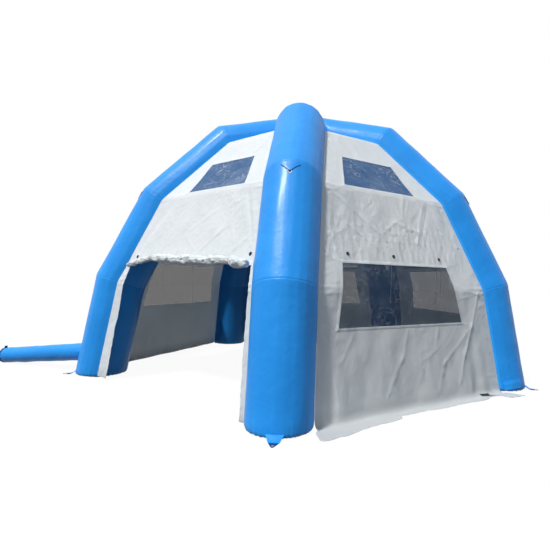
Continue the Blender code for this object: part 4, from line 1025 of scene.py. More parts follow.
def wall_push(bay_name, u, height, edge):
    """Everything that moves the cloth off its plain shape, apart from the main folds."""
    seed = 40 + WALL_NAMES.index(bay_name)
    turn = 0.7 * seed
    creases = []
    for start, end, width, depth in CREASES.get(bay_name, BACK_CREASES):
        creases.append((start, end, CREASE_WIDTH_SHARE * width, CREASE_DEPTH_SHARE * depth))
    push = crease_push(-u if bay_name in MIRRORED_WALLS else u, height, creases)
    flat = np.stack([u, height, np.zeros_like(u)], -1)
    push += waves(flat * (1.0, 0.55, 1.0), size=0.30, depth=0.0028, seed=seed)
    rough = crumple(flat * (1.0, 0.7, 1.0), size=0.26, depth=0.0030, seed=seed + 20)
    push += rough + crumple(flat, size=0.12, depth=0.0014, seed=seed + 30)
    push += GATHER_DEPTH_SHARE * crease_push(u, height, wall_gathers(bay_name))
    # Where the cloth is stretched between two bends it draws in a little
    low_bend, high_bend = LEG_PATH[2:4, 2]
    span = np.cos(math.pi / 2 * np.clip(u / edge, -1, 1))
    share = np.clip((height - low_bend) / (high_bend - low_bend), 0, 1)
    push -= STRETCH_DRAW * span * np.sin(math.pi * share)
    # Puckers beside the sewn rows and the tubes' bends
    for row in (DOOR_HEM + 0.100,) if bay_name == "door" else (*SEAM_ROWS, TOGGLE_HEIGHT):
        ripple = np.sin(2 * math.pi * u / ROW_PUCKER_LENGTH + turn + 2.0 * np.sin(3.1 * u + turn))
        push += ROW_PUCKER * bell(height - row, ROW_PUCKER_REACH) * ripple
    reach_up, reach_in = BEND_PUCKER_REACHES
    for bend in LEG_PATH[1:4, 2]:
        beside = bell(height - bend, reach_up) * np.exp(-(edge - np.abs(u)) / reach_in)
        push += BEND_PUCKER * beside * np.sin(2 * math.pi * (height - bend) / BEND_PUCKER_LENGTH + turn)
    push *= ease(edge - np.abs(u), 0.0, 0.03)
    for place_u, place_height in toggle_places(bay_name):
        from_toggle = np.hypot(u - place_u, height - place_height)
        push *= ease(from_toggle, TOGGLE_PATCH_RADIUS, 3 * TOGGLE_PATCH_RADIUS)
    return push


def skirt_width(bay_name, u, edge, place):
    if bay_name == "right_front":
        return read_table(u, RIGHT_FRONT_HEM)
    width = SKIRT_MIDDLE_WIDTH + (SKIRT_END_WIDTH - SKIRT_MIDDLE_WIDTH) * (u / edge) ** 2
    return width + SKIRT_EDGE_WAVE * np.sin(SKIRT_WAVE_TURN * place)


def skirt_rows(bay_name, grid_foot, u, place, edge):
    """The hem on the ground, from its free edge in to where it has turned up the wall."""
    ground = WALL_CLOTH / 2
    width = skirt_width(bay_name, u, edge, place)
    count = math.ceil(SKIRT_END_WIDTH / SKIRT_STEP)
    seed = 70 + WALL_NAMES.index(bay_name)
    folds = DRAPE_DEPTH * fold(place)
    rows = []
    for k in range(count):
        share = 1 - k / count
        flare = SKIRT_FLARE * math.sqrt(share)
        w = CURL_WIDTH + (width - CURL_WIDTH) * share + folds
        spot = bay_points(u * (edge + flare) / edge, w, np.zeros_like(u))
        ripple = waves(spot * (1.0, 1.6, 0.0), size=0.22, depth=SKIRT_RIPPLE, seed=seed)
        lift = np.maximum(ripple * (0.4 + 0.6 * share) + SKIRT_LIFT, 0.0) * ease(w, 0.05, 0.12)
        spot[:, 2] = ground + lift
        rows.append(spot)
    pulls = [(CURL_PULL_OUT, ground), (0.0, CURL_PULL_UP)]
    control = np.array([(CURL_WIDTH, ground), *pulls, (0.0, CURL_HEIGHT)])
    foot_w = grid_foot[:, 0] - bay_distance(WALL_FOOT)
    for k in range(CURL_ROWS):
        t = k / CURL_ROWS
        out, height = np.array(((1 - t) ** 3, 3 * t * (1 - t) ** 2, 3 * t * t * (1 - t), t ** 3)) @ control
        rows.append(bay_points(u, out + folds + (foot_w - folds) * t, np.full_like(u, height)))
    return np.array(rows)


def wall_openings(is_door):
    """(sill, head) of the upper pane, and of the lower pane or the doorway."""
    return (UPPER_SILL, UPPER_HEAD), (STRIP_FOOT, DOOR_HEM) if is_door else (LOWER_SILL, LOWER_HEAD)


def wall_shape(bay_name):
    """The wall's grid of points, its rows' heights, u and place on each row, and its half widths."""
    is_door = bay_name == "door"
    foot = STRIP_FOOT if is_door else WALL_FOOT
    seams = () if is_door else SEAM_ROWS
    marks = [foot, TIP]
    for sill, head in wall_openings(is_door):
        if sill > foot:
            marks += [sill - HEM_WIDTH, sill - HEM_WIDTH + HEM_STEP, sill]
        marks += [head, head + HEM_WIDTH - HEM_STEP, head + HEM_WIDTH]
    for row in seams:
        marks += [row - SEAM_HALF, row, row + SEAM_HALF]
    heights = stations(sorted(marks), FINE_STEP if bay_name in FINE_WALLS else WALL_STEP)
    u, place = wall_columns(bay_name, heights)
    edge = (bay_half_width(heights) - EDGE_GAP)[:, None]
    level = np.broadcast_to(heights[:, None], u.shape)
    if is_door:
        weight = np.interp(heights, (LEG_PATH[1, 2], DOOR_HEM, DOOR_HEM + DOOR_HEM_CLEAR), (0.0, 1.0, 0.0))
        level = level + weight[:, None] * hem_rise(u)
    push = drape_depth(heights, is_door)[:, None] * fold(place) + wall_push(bay_name, u, level, edge)
    for row in seams:
        push += (SEAM_PROUD * bell(heights - row, SEAM_ROUND))[:, None] * ease(edge - np.abs(u), 0.0, 0.05)
    return bay_points(u, push, level), heights, u, place, edge


def row_at(heights, value):
    return int(np.argmin(np.abs(heights - value)))


def area_between(steps, widths):
    """Area of a strip whose widths are given at both ends of each step."""
    return float(np.sum(steps * (widths[1:] + widths[:-1]) / 2))


def flat_cut(bay_name, heights, u, edge):
    """Width, length and area of the flat cloth, measured along the plain shape without its folds."""
    is_door = bay_name == "door"
    _, pane_first, pane_last, _ = hem_slots(bay_name)
    rise = np.hypot(np.diff(heights), np.diff(bay_distance(heights)))
    across = 2 * edge[:, 0]
    width, length, area = float(across.max()), float(rise.sum()), area_between(rise, across)
    for sill, head in wall_openings(is_door):
        first, last = row_at(heights, sill), row_at(heights, head)
        area -= area_between(rise[first:last], (u[:, pane_last] - u[:, pane_first])[first:last + 1])
    if not is_door:
        skirt = skirt_width(bay_name, u[0], edge[0], np.linspace(0, WALL_CELLS, u.shape[1]))
        area += area_between(np.diff(u[0]), skirt + WALL_FOOT - CURL_WIDTH / 2)
        length += float(skirt.max()) + WALL_FOOT
        width += 2 * SKIRT_FLARE
    return width, length, area


def build_wall(bay, bay_name):
    is_door = bay_name == "door"
    grid, heights, u, place, edge = wall_shape(bay_name)
    hem_left, pane_first, pane_last, hem_right = hem_slots(bay_name)
    kept = np.ones((grid.shape[0] - 1, grid.shape[1] - 1), bool)
    raised = np.zeros(grid.shape[:2])
    panes = []
    for sill, head in wall_openings(is_door):
        first, last = row_at(heights, sill), row_at(heights, head)
        kept[first:last, pane_first:pane_last] = False
        low = row_at(heights, sill - HEM_WIDTH + HEM_STEP) if sill > STRIP_FOOT else 0
        high = row_at(heights, head + HEM_WIDTH - HEM_STEP)
        raised[low:high + 1, hem_left:hem_right + 1] = HEM_PROUD
        if sill > STRIP_FOOT:
            panes.append(grid[first:last + 1, pane_first:pane_last + 1])
    grid = grid + raised[..., None] * normals_of(grid)
    if not is_door:
        skirt = skirt_rows(bay_name, grid[0], u[0], place[0], edge[0])
        grid = np.concatenate([skirt, grid])
        kept = np.concatenate([np.ones((len(skirt), kept.shape[1]), bool), kept])
    piece = add_mesh("cloth_" + bay_name, sheet_parts(grid, WALL_CLOTH, kept), (CLOTH,),
                     bay_bearing(bay_name))
    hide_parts("wall_" + bay_name)
    width, length, area = flat_cut(bay_name, heights, u, edge)
    for cut, prefix, film in zip(panes, ("upper_pane_", "lower_pane_"), (SKY_FILM, FILM)):
        build_pane(cut, prefix + bay_name, bay, bay_name, film)
    # The right front wall gets a black sheet on its hem beside the leg: a painted shadow
    if bay_name == "right_front":
        build_shadow_sheet(grid, bay_name)


def build_pane(cut, node, bay, bay_name, material):
    """A film in its opening: as flat as its border lets it be, with a soft waviness."""
    rows, columns = cut.shape[:2]
    across = np.linspace(0, 1, columns)[None, :, None]
    up = np.linspace(0, 1, rows)[:, None, None]
    sides = (1 - across) * cut[:, :1] + across * cut[:, -1:]
    ends = (1 - up) * cut[:1] + up * cut[-1:]
    corners = (1 - up) * ((1 - across) * cut[0, 0] + across * cut[0, -1])
    corners = corners + up * ((1 - across) * cut[-1, 0] + across * cut[-1, -1])
    film = sides + ends - corners
    inside = (np.sin(math.pi * across) * np.sin(math.pi * up))[..., 0] ** 0.5
    seed = 90 + bay
    slack = waves(film, size=0.45, depth=0.0045, seed=seed)
    slack = slack + waves(film, size=0.17, depth=0.0014, seed=seed + 7)
    film = film + (inside * slack)[..., None] * normals_of(film)
    centre = film.mean(axis=(0, 1))
    film = centre + (film - centre) * (1 - 2 * TOUCH_GAP)
    piece = add_mesh("film_" + node, sheet_parts(film, FILM_THICKNESS), (material,),
                     bay_bearing(bay_name))
    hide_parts(node)


# A black sheet on the right wall's hem beside its leg, turning up the wall, is a painted shadow of the dark gap
# under the leg and the hem; its place as bounds in u and w
SHADOW_SHEET_ALONG = (1.25, 1.42)
SHADOW_SHEET_ACROSS = (0.002, 0.100)
SHADOW_SHEET_TOP = 0.048
SHADOW_SHEET_THICKNESS = 0.003


def build_shadow_sheet(grid, bay_name):
    out = grid[..., 0] - bay_distance(0.0)
    u = grid[..., 1]
    column = int(np.argmin(np.abs(u[0] - np.mean(SHADOW_SHEET_ALONG))))
    low = grid[:, column, 2] < SHADOW_SHEET_TOP
    rows = np.flatnonzero(low & (out[:, column] > SHADOW_SHEET_ACROSS[0]) & (out[:, column] < SHADOW_SHEET_ACROSS[1]))
    columns = np.flatnonzero((u[rows[0]] > SHADOW_SHEET_ALONG[0]) & (u[rows[0]] < SHADOW_SHEET_ALONG[1]))
    lift = (WALL_CLOTH + SHADOW_SHEET_THICKNESS) / 2 + TOUCH_GAP
    part = (grid + lift * normals_of(grid))[rows[0]:rows[-1] + 1, columns[0]:columns[-1] + 1]
    # Painted shadow: a black sheet laid on the hem
    shadow_sheet = sheet_parts(part, SHADOW_SHEET_THICKNESS)
    add_mesh("hem_painted_shadow", shadow_sheet, (BLACK,), bay_bearing(bay_name))


for wall_bay, wall_name in enumerate(WALL_NAMES):
    build_wall(wall_bay, wall_name)


# Rolls: the door's panel outside its wall, and the windows' covers on the room side

ROLL_SIDES = 72
ROLL_STEP = 0.011
SPIRAL_RINGS = 12
SPIRAL_TURNS = 3.5
SPIRAL_DEPTH = 0.005
SPIRAL_SWELL = 0.006
WRAP_STEP = 0.004
ROLL_COLUMNS = 5
ROLL_LUMP = 0.006
LIMB_RADIUS = 0.034
LIMB_SWELL = 0.006
ROLL_LUMP_TURN = 2.2
DOOR_CRUMPLE = 0.0110
COVER_CRUMPLE = 0.0040
PRESS_SHARE = 0.35
SWELL_SHARE = 0.22


def panel_normal():
    """Outward normal of a bay between its first two bends."""
    rise = LEG_PATH[2, 2] - LEG_PATH[1, 2]
    run = (LEG_PATH[2, 0] - LEG_PATH[1, 0]) * math.cos(BAY_HALF_ANGLE)
    return np.array((rise, 0.0, -run)) / math.hypot(rise, run)


def round_roll():
    """Directions round a roll, upward along the wall first."""
    outward = panel_normal()
    return spokes(circle(ROLL_SIDES), np.array((-outward[2], 0.0, outward[0])), outward)


def tied(place, radius):
    """The two sides of a tie as rows of a table of radii."""
    return [(place - TIE_WIDTH / 2, radius), (place + TIE_WIDTH / 2, radius)]


def roll_radii():
    table = [(ROLL_LEFT_END, LIMB_RADIUS), (LEFT_TIE - 0.16, LIMB_RADIUS + LIMB_SWELL)]
    table += tied(LEFT_TIE, ROLL_TIE_RADIUS)
    for k in range(1, ROLL_COLUMNS + 1):
        place = LEFT_TIE + (RIGHT_TIE - LEFT_TIE) * k / (ROLL_COLUMNS + 1)
        table.append((place, ROLL_RADIUS + ROLL_LUMP * math.cos(ROLL_LUMP_TURN * k)))
    table += tied(RIGHT_TIE, ROLL_TIE_RADIUS)
    return table + [((RIGHT_TIE + ROLL_RIGHT_END) / 2, ROLL_END_RADIUS), (ROLL_RIGHT_END, ROLL_TIE_RADIUS)]


def cover_places():
    return [share * float(bay_half_width(TOGGLE_HEIGHT)) for share in TOGGLE_SHARES]


def cover_radii():
    table = [(-LOWER_HEAD_LEFT - COVER_OVERHANG, COVER_RADIUS)]
    places = cover_places()
    for place, following in zip(places, places[1:]):
        table += tied(place, COVER_TIE_RADIUS) + [((place + following) / 2, COVER_RADIUS + COVER_LUMP)]
    return table + tied(places[-1], COVER_TIE_RADIUS) + [(LOWER_HEAD_RIGHT + COVER_OVERHANG, COVER_RADIUS)]


def roll_end(rim, direction, angles):
    """Rings from a roll's rim in to its middle, which show its turns."""
    middle = rim.mean(axis=0)
    discs = []
    for k in range(1, SPIRAL_RINGS + 1):
        share = 1 - k / (SPIRAL_RINGS + 0.6)
        spiral = np.cos(2 * math.pi * SPIRAL_TURNS * share + direction * angles)
        swell = SPIRAL_DEPTH * spiral * ease(1 - share, 0.0, 0.2) + SPIRAL_SWELL * (1 - share ** 4)
        discs.append(middle + share * (rim - middle) + (direction * swell)[:, None] * TANGENT)
    return np.array(discs)


def rolled_cloth(radii, centre_at, ties, lump, seed):
    """A crumpled roll of cloth along u, drawn in at its ties, with the end of the wrap showing as a step."""
    places = stations([radii[0][0], radii[-1][0]], ROLL_STEP)
    angles = circle(ROLL_SIDES)
    across = round_roll()
    size = smooth_read(places, radii)[:, None]
    from_tie = np.min([np.abs(places - tie) for tie in ties], axis=0)[:, None]
    loose = ease(from_tie, 0.012, 0.10)
    spots = centre_at(places)[:, None] + size[..., None] * across
    slack = spots * (1.0, 0.6, 1.0)
    lumps = waves(slack, size=0.150, depth=lump, seed=seed)
    push = loose * (lumps + waves(spots, size=0.060, depth=0.45 * lump, seed=seed + 1))
    push += loose * crumple(slack, size=0.075, depth=0.75 * lump, seed=seed + 3, count=6)
    drawn = np.sin(13 * angles + 2 * np.sin(2 * angles + seed)) * np.exp(-from_tie / 0.07)
    push += 0.6 * lump * drawn * ease(from_tie, 0.01, 0.03)
    wrap = 2.4 + 0.22 * np.sin(4.1 * places + seed)[:, None] + 0.10 * np.sin(11.0 * places)[:, None]
    turn = (angles - wrap) % (2 * math.pi)
    push += WRAP_STEP * (0.5 - turn / (2 * math.pi)) * ease(turn, 0.0, 0.12)
    rings = spots + np.clip(push, -PRESS_SHARE * size, SWELL_SHARE * size)[..., None] * across
    return np.concatenate([roll_end(rings[0], -1, angles)[::-1], rings, roll_end(rings[-1], 1, angles)])


def tie_band(centres_at, place, radius):
    """A flat tie about a roll, its edges rounded."""
    centre = centres_at(np.array([place]))[0]
    half, edge = TIE_WIDTH / 2, TIE_THICKNESS / 3
    outline = mirrored([(-half, 0.0), (-half, TIE_THICKNESS - edge), (-half + edge, TIE_THICKNESS)])
    rings = [centre + along * TANGENT + (radius + out) * round_roll() for along, out in outline]
    return ring_solid(rings, True)


def door_centres(places):
    """The middle of the door's roll, which lies against the outside of its wall."""
    limb = LIMB_RADIUS + LIMB_SWELL
    size = limb + (ROLL_END_RADIUS - limb) * ease(places, LEFT_TIE - 0.35, LEFT_TIE - 0.05)
    out = size + FABRIC / 2 + TOUCH_GAP
    return bay_points(places, 0.0, DOOR_HEM + hem_rise(places)) + out[:, None] * panel_normal()


def cover_centres(places):
    out = COVER_RADIUS + COVER_LUMP + FABRIC / 2 + TOUCH_GAP
    return bay_points(places, 0.0, np.full_like(places, COVER_HEIGHT)) - out * panel_normal()


def add_roll(name, node, bearing, rings):
    roll = add_mesh(name, ring_solid(rings), (CLOTH,), bearing, sharp_degrees=70.0)
    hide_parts(node)


def build_door_roll():
    rings = rolled_cloth(roll_radii(), door_centres, (LEFT_TIE, RIGHT_TIE), DOOR_CRUMPLE, 5)
    add_roll("cloth_door_roll", "door_roll", bay_bearing("door"), rings)
    for name, place in (("left", LEFT_TIE), ("right", RIGHT_TIE)):
        band = tie_band(door_centres, place, ROLL_TIE_RADIUS + 2 * TOUCH_GAP)
        tie = add_mesh("tape_door_" + name, band, (CLOTH,), bay_bearing("door"))
        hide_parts("door_tie_" + name)


def build_covers():
    for bay, name in enumerate(WALL_NAMES):
        if name != "door":
            rings = rolled_cloth(cover_radii(), cover_centres, cover_places(), COVER_CRUMPLE, 20 + bay)
            add_roll("cloth_cover_" + name, "window_cover_" + name, bay_bearing(name), rings)
            ties = [tie_band(cover_centres, place, COVER_TIE_RADIUS + TOUCH_GAP) for place in cover_places()]
            add_mesh("tapes_cover_" + name, joined(ties), (CLOTH,), bay_bearing(name))


build_door_roll()
build_covers()


# Cords, which hang from the rolls along the construction's routes

CORD_LENGTHS = {
    "door_cord_left": 0.480, "door_cord_right": 0.480,
    "window_cord_left": 0.560, "window_cord_middle": 0.570, "window_cord_right": 0.500,
}
KNOT_RADIUS = 0.0075
KNOT_POINTS = 60


def cord_exit(node):
    """Where the construction's cord leaves its roll: the middle of its upper end."""
    points = np.array([vertex.co for vertex in frame["nodes"][node].data.vertices])
    top = points[points[:, 2] > points[:, 2].max() - CORD_RADIUS / 2]
    return top.mean(axis=0)


def knot_loop(centre):
    """A small overhand knot."""
    turn = circle(KNOT_POINTS)
    x = np.sin(turn) + 2 * np.sin(2 * turn)
    y = np.cos(turn) - 2 * np.cos(2 * turn)
    z = -np.sin(3 * turn)
    return centre + KNOT_RADIUS / 3 * np.stack([x, z, y], -1)


def build_cord(node, length):
    at_door = node.startswith("door")
    bearing = bay_bearing("door" if at_door else "right_front")
    # The door's cords take the grey copy of the white cord: painted shade
    material = SHADED_CORD if at_door else CORD
    tangent = level_axes(bearing)[1]
    start = cord_exit(node)
    curve = bpy.data.curves.new("rope_" + node, "CURVE")
    curve.dimensions = "3D"
    curve.bevel_depth = CORD_RADIUS
    curve.bevel_resolution = 4
    curve.use_fill_caps = True
    spline = curve.splines.new("POLY")
    spline.points.add(CORD_POINTS - 1)
    for k in range(CORD_POINTS):
        share = k / (CORD_POINTS - 1)
        sway = CORD_SWAY * share * math.sin(2 * math.pi * share)
        spline.points[k].co = (*(start + sway * tangent - length * share * UP), 1.0)
    curve.materials.append(material)
    rope = linked("rope_" + node, curve)
    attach(rope, "tent")
    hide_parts(node)
    loop = knot_loop(start - (length + KNOT_RADIUS / 2) * UP)
    knot = add_mesh("knot_" + node, ring_solid(tube_rings(loop, CORD_RADIUS * 0.8, 10, closed=True), True),
                    (material,))


for cord_name, cord_length in CORD_LENGTHS.items():
    build_cord(cord_name, cord_length)


# Toggles, each a turned barrel with a waist for its loop, on a sewn patch

TOGGLE_SIDES = 28
TOGGLE_FIT = 0.98
TOGGLE_HALF_PROFILE = (
    (-1.00, 0.25), (-0.99, 0.50), (-0.95, 0.70), (-0.86, 0.88), (-0.72, 0.98), (-0.30, 1.00), (-0.20, 0.98),
    (-0.13, 0.80),
)
TOGGLE_PATCH_PROFILE = ((0.1, 0.94), (0.3, 0.99), (0.8, 1.0), (1.1, 0.97))


def build_toggle(joint):
    name = joint["child"]
    normal = np.array(joint["axis"], float)
    upright = unit(UP - UP.dot(normal) * normal)
    side = np.cross(upright, normal)
    centre = middle_of(name)
    angles = circle(TOGGLE_SIDES)
    rings = []
    for share, size in mirrored(TOGGLE_HALF_PROFILE):
        point = centre + share * TOGGLE_LENGTH / 2 * upright
        rings.append(point + TOGGLE_FIT * TOGGLE_RADIUS * size * spokes(angles, side, -normal))
    barrel = ring_solid(np.array(rings)[:, ::-1])
    piece = add_mesh("barrel_" + name, barrel, (BLACK,), body=name)
    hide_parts(name)
    outward = normal if normal.dot(centre - AXIS) > 0 else -normal
    rings = []
    for depth, size in TOGGLE_PATCH_PROFILE:
        middle = centre - (TOGGLE_RADIUS + depth * TOGGLE_PATCH_THICKNESS) * outward
        rings.append(middle + size * TOGGLE_PATCH_RADIUS * spokes(angles, side, upright))
    add_mesh("patch_" + name, ring_solid(rings), (BLACK,))


for moving in frame["joints"]:
    if moving["child"].startswith(("door_toggle", "window_toggle")):
        build_toggle(moving)


# Guy-line anchors: a welded patch under the second bend with its eye, and a ring of wire

PATCH_TOP_DROP = 0.003
PATCH_HEIGHT = 0.100
PATCH_WING = 0.022
PATCH_TIP_HALF = 0.016
PATCH_TIP_ROUND = 0.12
PATCH_THICKNESS = 0.004
PATCH_LIFT = 0.0015
PATCH_CROWN = 0.004
PATCH_ROWS = 26
PATCH_COLUMNS = 32
PATCH_WELT = 0.0040
EYE_RADIUS = 0.0085
EYE_ROUND = 0.001
EYE_LENGTH = 0.024
EYE_SIDES = 24
WIRE_RADIUS = 0.0035
WIRE_FIT = 0.98
LOOP_PLAY = 0.0006
RING_HALF_WIDTH = 0.024
RING_DROP = 0.034
RING_CORNER = 0.010
FACET = math.radians(15.0)


def patch_top():
    """How far along the leg's second stretch the patch ends."""
    return np.linalg.norm(LEG_PATH[2] - LEG_PATH[1]) - PATCH_TOP_DROP


def patch_grid():
    """A rounded triangle on the tube, widest under the bend."""
    along, outward = section_axes(1)
    share = np.linspace(0, 1, PATCH_ROWS)[:, None]
    side = np.linspace(-1, 1, PATCH_COLUMNS)[None, :]
    tip = PATCH_TIP_HALF / TUBE_RADIUS
    width = tip + (FACET + PATCH_WING / TUBE_RADIUS - tip) * share ** 1.15
    rounded = np.sqrt(np.clip(share / PATCH_TIP_ROUND, 0.2, 1.0))
    angle = width * np.where(share < PATCH_TIP_ROUND, rounded, 1.0) * side
    distance = patch_top() - PATCH_HEIGHT * (1 - share) + 0.0 * side
    lift = TOUCH_GAP + PATCH_THICKNESS / 2 + PATCH_LIFT + PATCH_CROWN * (1 - share) * (1 - side ** 2)
    radial = spokes(angle, outward, TANGENT)
    return LEG_PATH[1] + distance[..., None] * along + (TUBE_RADIUS + lift)[..., None] * radial


def ring_line():
    """The D's own line: the bar along the top, then the bow."""
    half, corner = RING_HALF_WIDTH, RING_CORNER
    bend = []
    for turn in np.linspace(0, math.pi / 2, 7)[1:-1]:
        bend.append((half - corner + corner * math.sin(turn), corner * (1 - math.cos(turn))))
    line = [(u, 0.0) for u in np.linspace(-half + corner, half - corner, 10)] + bend
    for turn in np.linspace(0, math.pi, 25):
        line.append((half * math.cos(turn), corner + (RING_DROP - corner) * math.sin(turn)))
    return line + [(-u, drop) for u, drop in reversed(bend)]


def build_anchors():
    along, outward = section_axes(1)
    lean = math.asin((EYE_RADIUS - WIRE_RADIUS) / RING_DROP)
    down = math.cos(lean) * along + math.sin(lean) * outward
    distance = patch_top() - PATCH_HEIGHT - EYE_RADIUS / 2
    centre = LEG_PATH[1] + along * distance + outward * (TUBE_RADIUS + EYE_RADIUS + TOUCH_GAP)
    across = spokes(circle(EYE_SIDES), outward, along)
    outline = mirrored([(-0.5, WIRE_RADIUS + LOOP_PLAY), (-0.5, EYE_RADIUS - EYE_ROUND), (-0.46, EYE_RADIUS)])
    eye = np.array([centre + place * EYE_LENGTH * TANGENT + size * across for place, size in outline])
    grid = patch_grid()
    patch_parts = sheet_parts(grid, PATCH_THICKNESS)
    rim = np.concatenate([grid[::-1, 0], grid[0, 1:-1], grid[:, -1]])
    rim = np.concatenate([rim[:1], rim, rim[-1:]])
    rim = (rim[:-2] + rim[1:-1] + rim[2:]) / 3 + PATCH_THICKNESS / 2 * outward
    welt_parts = joined([ring_solid(tube_rings(rim, PATCH_WELT, 10)), ring_solid(eye[:, ::-1], True)])
    line = [centre + u * TANGENT - drop * down for u, drop in ring_line()]
    wire = ring_solid(tube_rings(line, WIRE_RADIUS * WIRE_FIT, 16, closed=True), True)
    for index, name in enumerate(LEG_NAMES):
        bearing = leg_bearing(index)
        patch = add_mesh("patch_" + name, patch_parts, (BLUE,), bearing)
        # The welt round the patch is dark blue, partly painted shade along the patch's raised edges
        add_mesh("patch_welt_" + name, welt_parts, (NAVY,), bearing)
        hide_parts("anchor_patch_" + name)
        ring = add_mesh("d_ring_" + name, wire, (STEEL,), bearing, body="anchor_ring_" + name)
        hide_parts("anchor_ring_" + name)


build_anchors()


# Peg tabs at the feet, each with a metal eyelet

TAB_THICKNESS = 0.004
TAB_SLOPE_LENGTH = 0.080
TAB_LENGTH = 0.190
TAB_TIP_HALF = 0.011
TAB_COLUMNS = 37
TAB_CELL = 0.004
EYELET_RADIUS = 0.010
EYELET_INSET = 0.040
EYELET_RIM = 0.0028
EYELET_POINTS = 40


def tab_grid(seam):
    """Drawn about the tab's seam at the tube, tapering to its tip on the ground."""
    root_half = TUBE_RADIUS * math.sin(FACET)
    along = np.linspace(0, TAB_LENGTH, math.ceil(TAB_LENGTH / TAB_CELL) + 1)[::-1]
    side = np.linspace(-1, 1, TAB_COLUMNS)[None, :]
    half = np.interp(along, (0.0, TAB_SLOPE_LENGTH, TAB_LENGTH),
                     (root_half, (root_half + TAB_TIP_HALF) / 2, TAB_TIP_HALF))
    tip = np.sqrt(np.clip((TAB_LENGTH - along) / TAB_TIP_HALF, 0.12, 1.0))
    y = (half * tip)[:, None] * side
    back = TUBE_RADIUS - np.sqrt(TUBE_RADIUS ** 2 - y ** 2)
    x = along[:, None] - back * (1 - ease(along, 0.0, TAB_SLOPE_LENGTH))[:, None]
    low_z = TAB_THICKNESS / 2 - seam[2]
    z = low_z * ease(along, -0.35 * TAB_SLOPE_LENGTH, 1.1 * TAB_SLOPE_LENGTH)
    z = z - z[-1]
    z = (z * low_z / z.min())[:, None] + 0.0 * side
    return np.stack([x, y, z], -1)


def build_tabs():
    seam = level_ring(np.array([0.0]), TUBE_RADIUS, FOOT_ROUND)[0]
    grid = tab_grid(seam)
    spot = np.array((TAB_LENGTH - EYELET_INSET, 0.0, TAB_THICKNESS / 2 - seam[2]))
    middle = (grid[:-1, :-1] + grid[1:, 1:]) / 2
    kept = np.hypot(middle[..., 0] - spot[0], middle[..., 1]) > EYELET_RADIUS - TOUCH_GAP
    points, faces = sheet_parts(grid, TAB_THICKNESS, kept)
    middles = np.concatenate([points[block].mean(axis=1) for block in faces])
    # The tab's slope takes the lighter blue and its flat end the dark blue, lit and shaded copies: painted
    # highlight and painted shade
    lit_slope = (middles[:, 0] < TAB_SLOPE_LENGTH).astype(int)
    rims = []
    for side in (-1, 1):
        turn = circle(EYELET_POINTS)
        rim = spot + np.stack([np.cos(turn), np.sin(turn), 0 * turn], -1) * (EYELET_RADIUS + EYELET_RIM * 0.3)
        rim = rim + side * (TAB_THICKNESS / 2 - EYELET_RIM * 0.35) * UP
        rims.append(ring_solid(tube_rings(rim, EYELET_RIM, 12, closed=True), True))
    edge = TAB_THICKNESS / 2 * math.sin(math.atan2(seam[2] - TAB_THICKNESS / 2, TAB_SLOPE_LENGTH))
    offset = np.array((seam[0] + edge + TOUCH_GAP, 0.0, seam[2]))
    tab = on_ground(points + offset), faces
    points, faces = joined(rims)
    eyelet = on_ground(points + offset), faces
    for index, name in enumerate(LEG_NAMES):
        node = "foot_tab_" + name
        bearing = leg_bearing(index)
        piece = add_mesh("tab_" + name, tab, (NAVY, BLUE), bearing, lit_slope, node)
        add_mesh("tab_eyelet_" + name, eyelet, (STEEL,), bearing, body=node)
        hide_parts(node)


build_tabs()


# Inflation sleeve, from the front left leg out along the ground

SLEEVE_SIDES = 56
SLEEVE_ROWS = 110
SLEEVE_GATHER_COUNT = 15
SLEEVE_DENT = 0.0030
ROOT_GATHER_DEPTH = 0.006
ROOT_GATHER_REACH = 0.035
END_GATHER_DEPTH = 0.005
END_GATHER_REACH = 0.030
EXIT_HALVINGS = 30
EXIT_LIMIT = 0.5
END_PANEL_THICKNESS = 0.040
END_LIP = 0.012
END_CRIMP = 0.0022
EAR_HEIGHT = 0.034
EAR_WIDTH = 0.050
EAR_SLANT = 0.0125
EAR_OUTLINE = (
    (0.0, 0.0), (EAR_WIDTH, 0.0), (EAR_WIDTH - EAR_SLANT * 0.6, 0.8), (EAR_WIDTH - EAR_SLANT, 1.0),
    (0.004, 1.0), (0.0, 0.9),
)
SLEEVE_LEG_BEARING = leg_bearing(LEG_NAMES.index("front_left"))
SLEEVE_FOOT = placed(LEG_PATH[0], SLEEVE_LEG_BEARING)
FORWARD, ACROSS = level_axes(SLEEVE_BEARING)

# The end panel's outline as (distance past the sleeve's end, distance out from its radius)
END_PROFILE = (
    (0.0, 0.0), (0.002, -0.003), (0.008, 0.004), (0.015, -0.002), (0.024, -0.005), (0.033, 0.001),
    (0.040, 0.0), (0.047, -0.004), (END_PANEL_THICKNESS + END_LIP, -END_LIP),
    (END_PANEL_THICKNESS + END_LIP * 0.7, -0.045), (END_PANEL_THICKNESS, -0.090),
)


def sleeve_line(share, radial):
    """Middle, radius and points of the skin, at shares of the sleeve's length."""
    rise = SLEEVE_LEG_HEIGHT + (SLEEVE_RADIUS - SLEEVE_LEG_HEIGHT) * share
    radius = SLEEVE_LEG_RADIUS + (SLEEVE_RADIUS - SLEEVE_LEG_RADIUS) * share
    centre = SLEEVE_FOOT + SLEEVE_LENGTH * share[:, None] * FORWARD + rise[:, None] * UP
    return centre, radius, centre + radius[:, None] * radial


